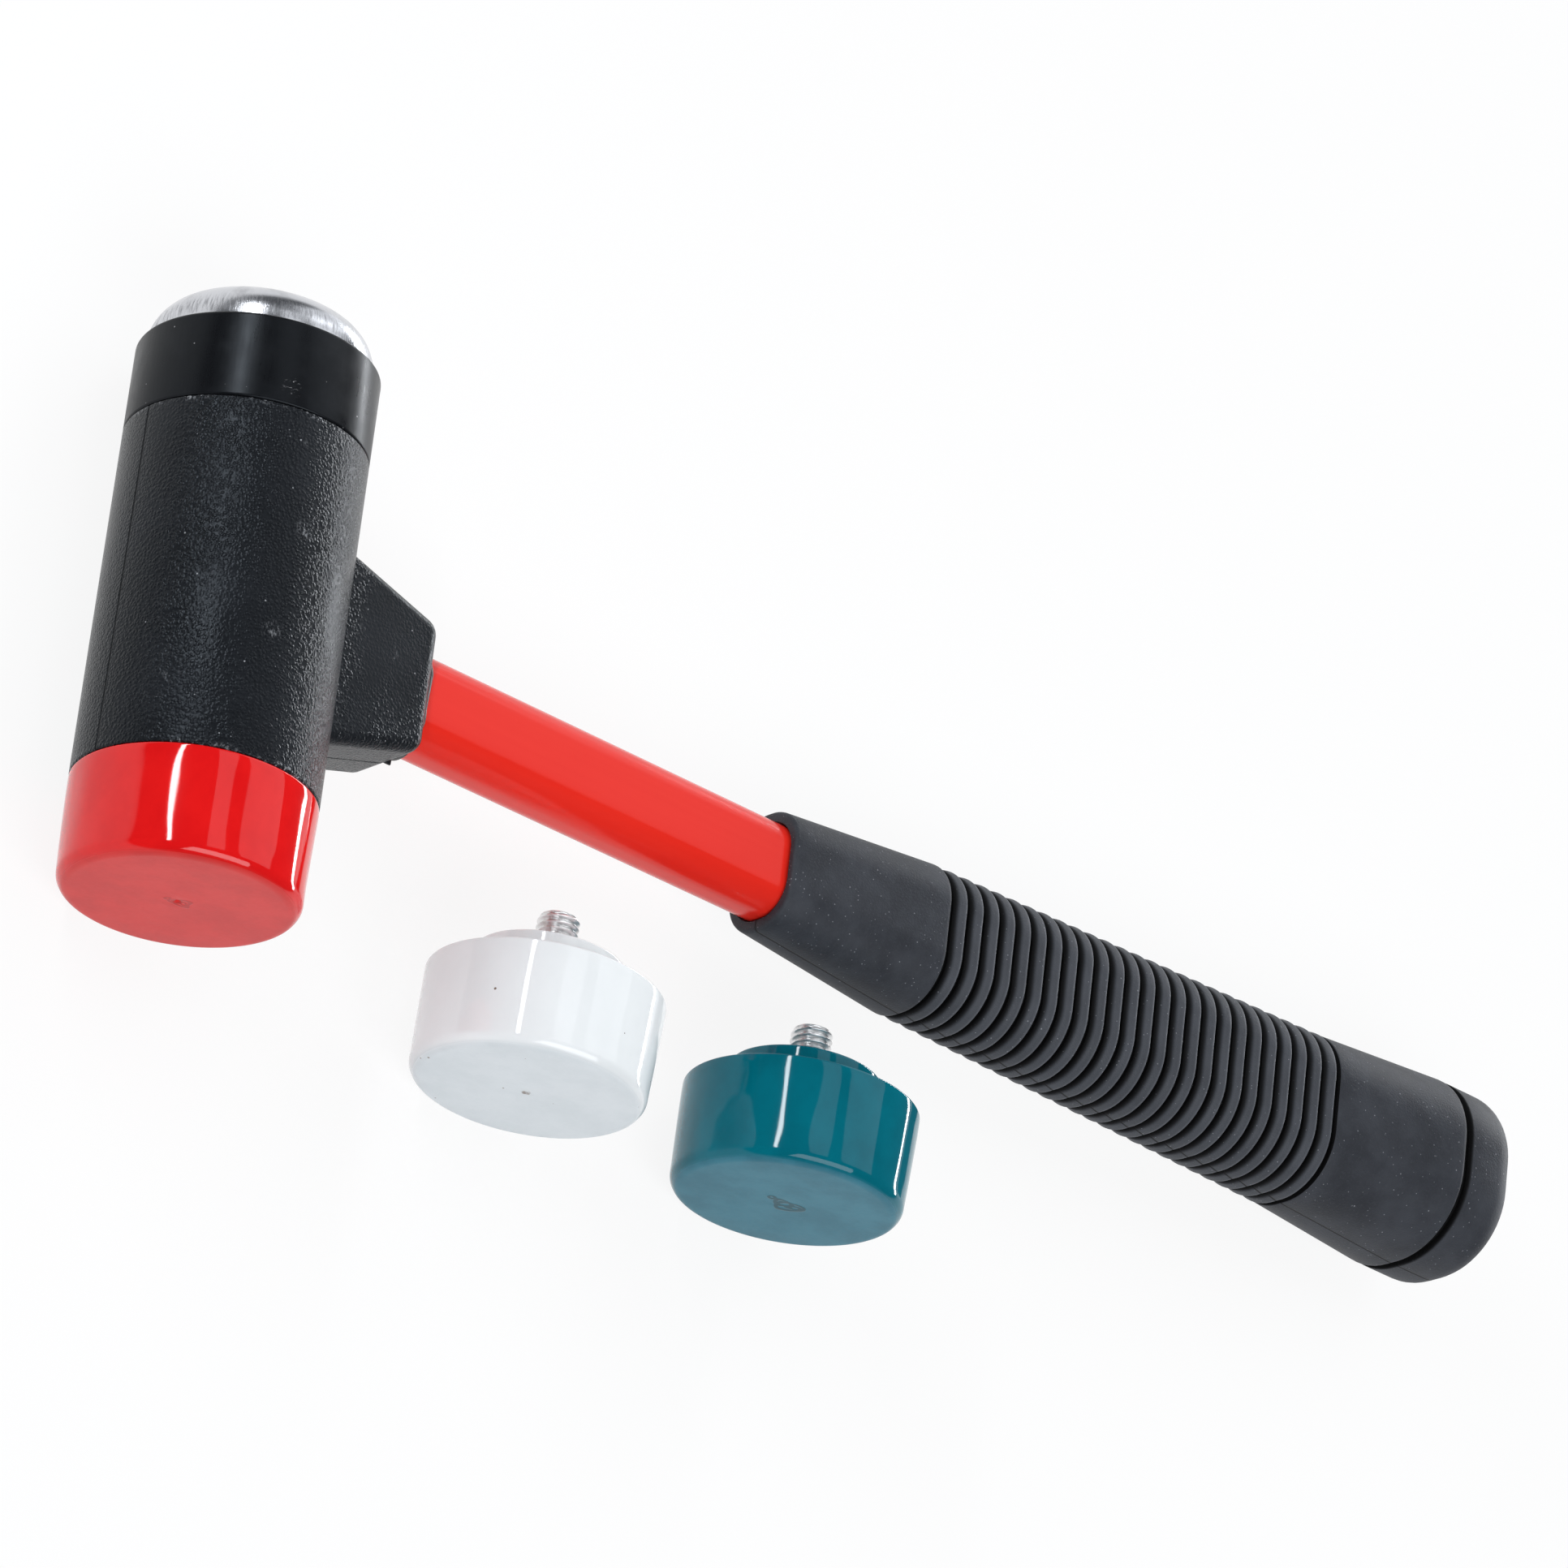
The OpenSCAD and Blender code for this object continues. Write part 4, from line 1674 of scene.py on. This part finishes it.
@dataclass
class PlasticFace:
    """Screw-in plastic face with its boss and its threaded stud."""

    kind: FaceColour
    place: Place
    body_r: float = 22.5
    rim: float = 0.5
    length: float = 20.9
    draft: float = math.radians(1.3)
    edge: float = 2.6
    boss_r: float = 14.4
    boss_h: float = 5.4
    stud_r: float = 4.0
    stud_reach: float = 9.1
    stud_root: float = 11.0
    shank_r: float = 5.0
    flange_r: float = 7.5
    flange_t: float = 3.0
    pitch: float = 1.25
    thread_depth: float = 0.62
    wave_size: float = 6.0
    ripple: float = 0.016
    ripple_size: float = 2.4
    wave_stretch: float = 4.0
    side_rows: int = 14
    turn_steps: int = 240
    flat_rings: tuple[float, ...] = (3.8, 8.0, 14.0)
    root_break: float = 0.25
    boss_edge: float = 0.5
    well: tuple[Point, ...] = ((0.9, 0.0), (0.3, 0.6), (0.05, 2.0))
    well_gap: float = 0.1
    thread_hidden: float = 2.5
    thread_lead: float = 0.9
    thread_round_steps: int = 48
    thread_rows: int = 10
    flank_rise: float = 1.3
    flank_flat: float = 0.15

    def _finish(self) -> MouldedGloss:
        """Finish of this face's colour.

        Returns:
            The finish.
        """
        shared: dict[str, Any] = {"place": self.place, "length": self.length}
        if self.kind is FaceColour.RED:
            return MouldedGloss(
                "red_gloss", colour=(0.78, 0.008, 0.008), shade=(0.70, 0.005, 0.006),
                end_colour=(0.68, 0.022, 0.019), end_shade=(0.59, 0.015, 0.013),
                speck_colour=(0.36, 0.006, 0.006), gate_radius=3.2, gate_scar=0.6, gate_curl=0.7,
                speck_share=0.0, **shared,
            )
        if self.kind is FaceColour.WHITE:
            return MouldedGloss(
                "white_gloss", colour=(0.86, 0.885, 0.89), shade=(0.835, 0.86, 0.865),
                end_colour=(0.72, 0.76, 0.78), end_shade=(0.67, 0.715, 0.735),
                speck_colour=(0.16, 0.10, 0.06), gate_radius=1.0, gate_scar=0.9, gate_curl=0.0,
                speck_share=0.5, ior=1.5, **shared,
            )
        return MouldedGloss(
            "teal_gloss", colour=(0.000, 0.142, 0.192), shade=(0.000, 0.115, 0.158),
            end_colour=(0.034, 0.190, 0.260), end_shade=(0.020, 0.145, 0.205),
            speck_colour=(0.003, 0.036, 0.046), gate_radius=5.0, gate_scar=0.68, gate_curl=0.85,
            speck_share=0.0, ior=1.35, **shared,
        )

    def _body(self) -> bpy.types.Object:
        """Builds the moulded face.

        Returns:
            The piece.
        """
        top = self.length
        round_z = top - self.edge
        round_r = self.body_r - round_z * math.tan(self.draft) - self.edge / math.cos(self.draft)
        lean = math.degrees(self.draft)
        profile = [(r, top - depth) for r, depth in MOULDINGS[self.kind].pit]
        profile += [(r, top) for r in self.flat_rings]
        profile += arc((round_r, round_z), self.edge, 90.0, lean, 10)
        for row in range(1, self.side_rows):
            z = round_z + (self.rim - round_z) * row / self.side_rows
            profile.append((self.body_r - z * math.tan(self.draft), z))
        side_r = self.body_r - self.rim * math.tan(self.draft)
        profile += arc((side_r - self.rim, self.rim), self.rim, 0.0, -90.0, 5)
        profile += [(self.boss_r + self.root_break, 0.0), (self.boss_r, -self.root_break)]
        edge = self.boss_edge
        profile += arc((self.boss_r - edge, -self.boss_h + edge), edge, 0.0, -90.0, 4)
        profile += [(self.shank_r + wider, -self.boss_h + deep) for wider, deep in self.well]
        profile += [(0.0, -self.boss_h + self.well[-1][1])]
        skin = Skin()
        skin.lathe(profile, self.turn_steps)
        self._waves(skin)
        return skin.piece(f"{self.kind.value}_striking_face", self.place, self._finish().make())

    def _waves(self, skin: Skin) -> None:
        """Moves the side in and out by the slow waves that the mould left in it.

        Args:
            skin: The face in the making.
        """
        left = MOULDINGS[self.kind]
        for vert in skin.mesh.verts:
            inside = min(vert.co.z - self.rim, self.length - self.edge - vert.co.z) / self.edge
            share = min(max(inside, 0.0), 1.0)
            at = Vector((vert.co.x, vert.co.y, vert.co.z / self.wave_stretch + left.seed))
            push = left.wave * noise.noise(at / self.wave_size)
            push += self.ripple * noise.noise(at / self.ripple_size)
            radius = max(math.hypot(vert.co.x, vert.co.y), self.stud_r)
            grow = 1.0 + share * push / radius
            vert.co.x *= grow
            vert.co.y *= grow

    def _thread(self, zinc: bpy.types.Material) -> bpy.types.Mesh:
        """Makes the threaded length of the stud by the rule of its helix.

        Args:
            zinc: Finish of the stud.

        Returns:
            The thread's mesh.
        """
        length = self.stud_reach + self.thread_hidden
        rows = int(round(length / self.pitch * self.thread_rows)) + 1
        shape = GridShape(
            f"{self.kind.value}_thread",
            {
                "Radius": self.stud_r,
                "Pitch": self.pitch,
                "Depth": self.thread_depth,
                "Length": length,
                "Tip": -self.boss_h - self.stud_reach,
                "Lead": self.thread_lead,
                "Flank rise": self.flank_rise,
                "Flank flat": self.flank_flat,
            },
        )
        mesh, round_share, along_share = shape.grid(self.thread_round_steps + 1, rows)
        theta = round_share * (2 * math.pi)
        rise = along_share * shape.size("Length")
        phase = (rise / shape.size("Pitch") - round_share + 4.0).fraction()
        slope = abs(phase - 0.5) * 2.0 * shape.size("Flank rise")
        flank = (slope - shape.size("Flank flat")).most(0.0).least(1.0)
        lead = (1.0 - (rise / shape.size("Lead")).least(1.0)) * shape.size("Depth")
        ended = along_share.above(0.0005) * (1.0 - along_share.above(0.9995))
        radius = (shape.size("Radius") - (flank * shape.size("Depth")).most(lead)) * ended
        where = shape.vector(
            radius * theta.cosine(), radius * theta.sine(), rise + shape.size("Tip")
        )
        return shape.make(shape.bend(mesh, where), zinc)

    def _stud(self) -> bpy.types.Object:
        """Builds the stud: thread, and the shank and flange inside the face.

        Returns:
            The piece.
        """
        zinc = ZincPlate(self.place, f"{self.kind.value}_stud_zinc").make()
        skin = Skin()
        low = -self.boss_h + self.well[-1][1] + self.well_gap
        flange = self.stud_root - self.flange_t
        skin.lathe(
            [
                (0.0, low), (self.shank_r, low), (self.shank_r, flange), (self.flange_r, flange),
                (self.flange_r, self.stud_root), (0.0, self.stud_root),
            ],
            64,
        )
        mesh = self._thread(zinc)
        skin.add(mesh)
        bpy.data.meshes.remove(mesh)
        return skin.piece(f"{self.kind.value}_threaded_stud", self.place, zinc, 50.0)

    def build(self) -> None:
        """Builds the face and its stud."""
        name = self.kind.value
        body = Body(f"{name}_face")
        seat(self._body(), body, f"{name}_face")
        seat(self._stud(), body, f"{name}_face_stud")


@dataclass
class Studio:
    """White paper floor, soft lights and the camera."""

    camera_at: Vector = field(default_factory=lambda: Vector((-0.94134, -0.63358, 1.15917)))
    camera_aim: Vector = field(default_factory=lambda: Vector((-0.0164, 0.01924, 0.0225)))
    camera_roll: float = math.radians(70.2837)
    lens: float = 194.6007
    floor_half: float = 4.0
    sky: Colour = (0.075, 0.079, 0.086)
    horizon: Colour = (0.80, 0.81, 0.83)
    lamp_tint: Colour = (0.97, 0.99, 1.015)

    def _camera(self) -> None:
        """Sets the camera where the photograph was taken."""
        ahead = (self.camera_aim - self.camera_at).normalized()
        level = ahead.cross(Vector((0.0, 0.0, 1.0))).normalized()
        upright = level.cross(ahead)
        right = level * math.cos(self.camera_roll) + upright * math.sin(self.camera_roll)
        up = right.cross(ahead)
        data = bpy.data.cameras.new("camera")
        data.lens = self.lens
        data.sensor_width = 36.0
        data.clip_start = 0.01
        camera = bpy.data.objects.new("camera", data)
        turn = Matrix((right, up, -ahead)).transposed()
        camera.matrix_world = Matrix.Translation(self.camera_at) @ turn.to_4x4()
        bpy.context.scene.collection.objects.link(camera)
        bpy.context.scene.camera = camera

    def _lamp(self, name: str, at: Vector, aim: Vector, size: Point, power: float) -> None:
        """Adds one rectangular soft lamp whose long side lies along the head.

        Args:
            name: Name of the lamp.
            at: Its place.
            aim: Where it points.
            size: Its width and its length.
            power: Its power in watts.
        """
        data = bpy.data.lights.new(name, "AREA")
        data.shape = "RECTANGLE"
        data.size, data.size_y = size
        data.energy = power
        data.color = self.lamp_tint
        lamp = bpy.data.objects.new(name, data)
        back = (at - aim).normalized()
        across = Vector((0.0, 1.0, 0.0)).cross(back).normalized()
        along = back.cross(across)
        turn = Matrix((across, along, back)).transposed()
        lamp.matrix_world = Matrix.Translation(at) @ turn.to_4x4()
        bpy.context.scene.collection.objects.link(lamp)

    def _floor(self) -> None:
        """Lays the paper on the floor."""
        half = self.floor_half
        mesh = bpy.data.meshes.new("paper_floor")
        corners = [(-half, -half, 0.0), (half, -half, 0.0), (half, half, 0.0), (-half, half, 0.0)]
        mesh.from_pydata(corners, [], [(0, 1, 2, 3)])
        mesh.materials.append(PaperFloor().make())
        floor = bpy.data.objects.new("paper_floor", mesh)
        bpy.context.scene.collection.objects.link(floor)
        floor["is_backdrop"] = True

    def _sky(self) -> None:
        """Gives the room its soft grey light, pale where the walls meet the floor."""
        world = bpy.data.worlds.new("studio")
        world.use_nodes = True
        world.node_tree.nodes.clear()
        room = Tree(world.node_tree)
        _, _, rise = room.parts(room.node("ShaderNodeTexCoord", out="Generated"))
        shade = room.mix(rise.ramp(0.0, 0.07), self.horizon, self.sky)
        light = room.node("ShaderNodeBackground", sockets={"Color": shade, "Strength": 1.0})
        room.node("ShaderNodeOutputWorld", sockets={"Surface": light})
        bpy.context.scene.world = world

    def build(self) -> None:
        """Builds the floor, the lights and the camera."""
        self._floor()
        self._sky()
        self._camera()
        aim = Vector((-0.05, 0.0, 0.02))
        for name, way, reach, size, power in (
            ("strip", (-0.73, 0.42, 0.536), 1.05, (0.06, 0.9), 5.0),
            ("overhead", (-0.189, 0.42, 0.888), 1.5, (0.45, 1.2), 1.8),
            ("panel", (0.426, 0.42, 0.801), 1.4, (0.9, 1.4), 4.0),
            ("right", (0.903, 0.42, 0.09), 1.4, (0.09, 1.4), 11.0),
            ("back", (0.40, 0.82, 0.40), 1.5, (1.4, 0.8), 3.2),
            ("front", (-0.05, -0.64, 0.77), 1.6, (1.6, 0.9), 18.5),
        ):
            self._lamp(name, aim + Vector(way).normalized() * reach, aim, size, power)
        bpy.context.scene.view_settings.view_transform = "Standard"


def spare_place(mount: dict[str, Any], length: float) -> Place:
    """Axes of a spare face, found from the middle of its striking end.

    Args:
        mount: The record's striking end: its place and the way it points.
        length: Length of the face from its rim to that end.

    Returns:
        The axes, with z towards the striking end.
    """
    way = Vector(mount["axis"])
    origin = Vector(mount["pos_m"]) - way * length * MM
    dip = math.asin(-way.z)
    return Place(tuple(origin), (math.pi / 2 + dip, 0.0, math.atan2(way.x, -way.y)))


def main() -> list[list[float]]:
    """Builds every sub-assembly in order.

    Returns:
        The box of the solids, as its lowest and highest corner.
    """
    logging.basicConfig(level=logging.INFO, format="%(name)s: %(message)s")
    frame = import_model()
    solid_box = [list(corner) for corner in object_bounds()]
    record = frame["record"]
    joints = {joint["name"]: joint for joint in record["behaviour"]["joints"]}
    mounts = {mount["name"]: mount for mount in record["mounts"]}

    steel_end = Vector(joints["steel_face_turn"]["pos_m"])
    head = Head(steel_end - Vector((0.0, Head.body_half * MM, 0.0)), LIE_TILT)
    head.build(frame["nodes"])

    axis = head.middle + Vector((0.0, head.handle_rise * MM, 0.0))
    along = Place(tuple(axis), (0.0, head.tilt, 0.0))
    Handle(along).build()
    Grip(along).build()

    SteelFace(head.end(1)).build()
    red = PlasticFace(FaceColour.RED, head.end(-1))
    red.build()
    for kind in (FaceColour.WHITE, FaceColour.TEAL):
        PlasticFace(kind, spare_place(mounts[f"{kind.value}_strike"], red.length)).build()

    Studio().build()
    return solid_box


if __name__ == "__main__":
    main()
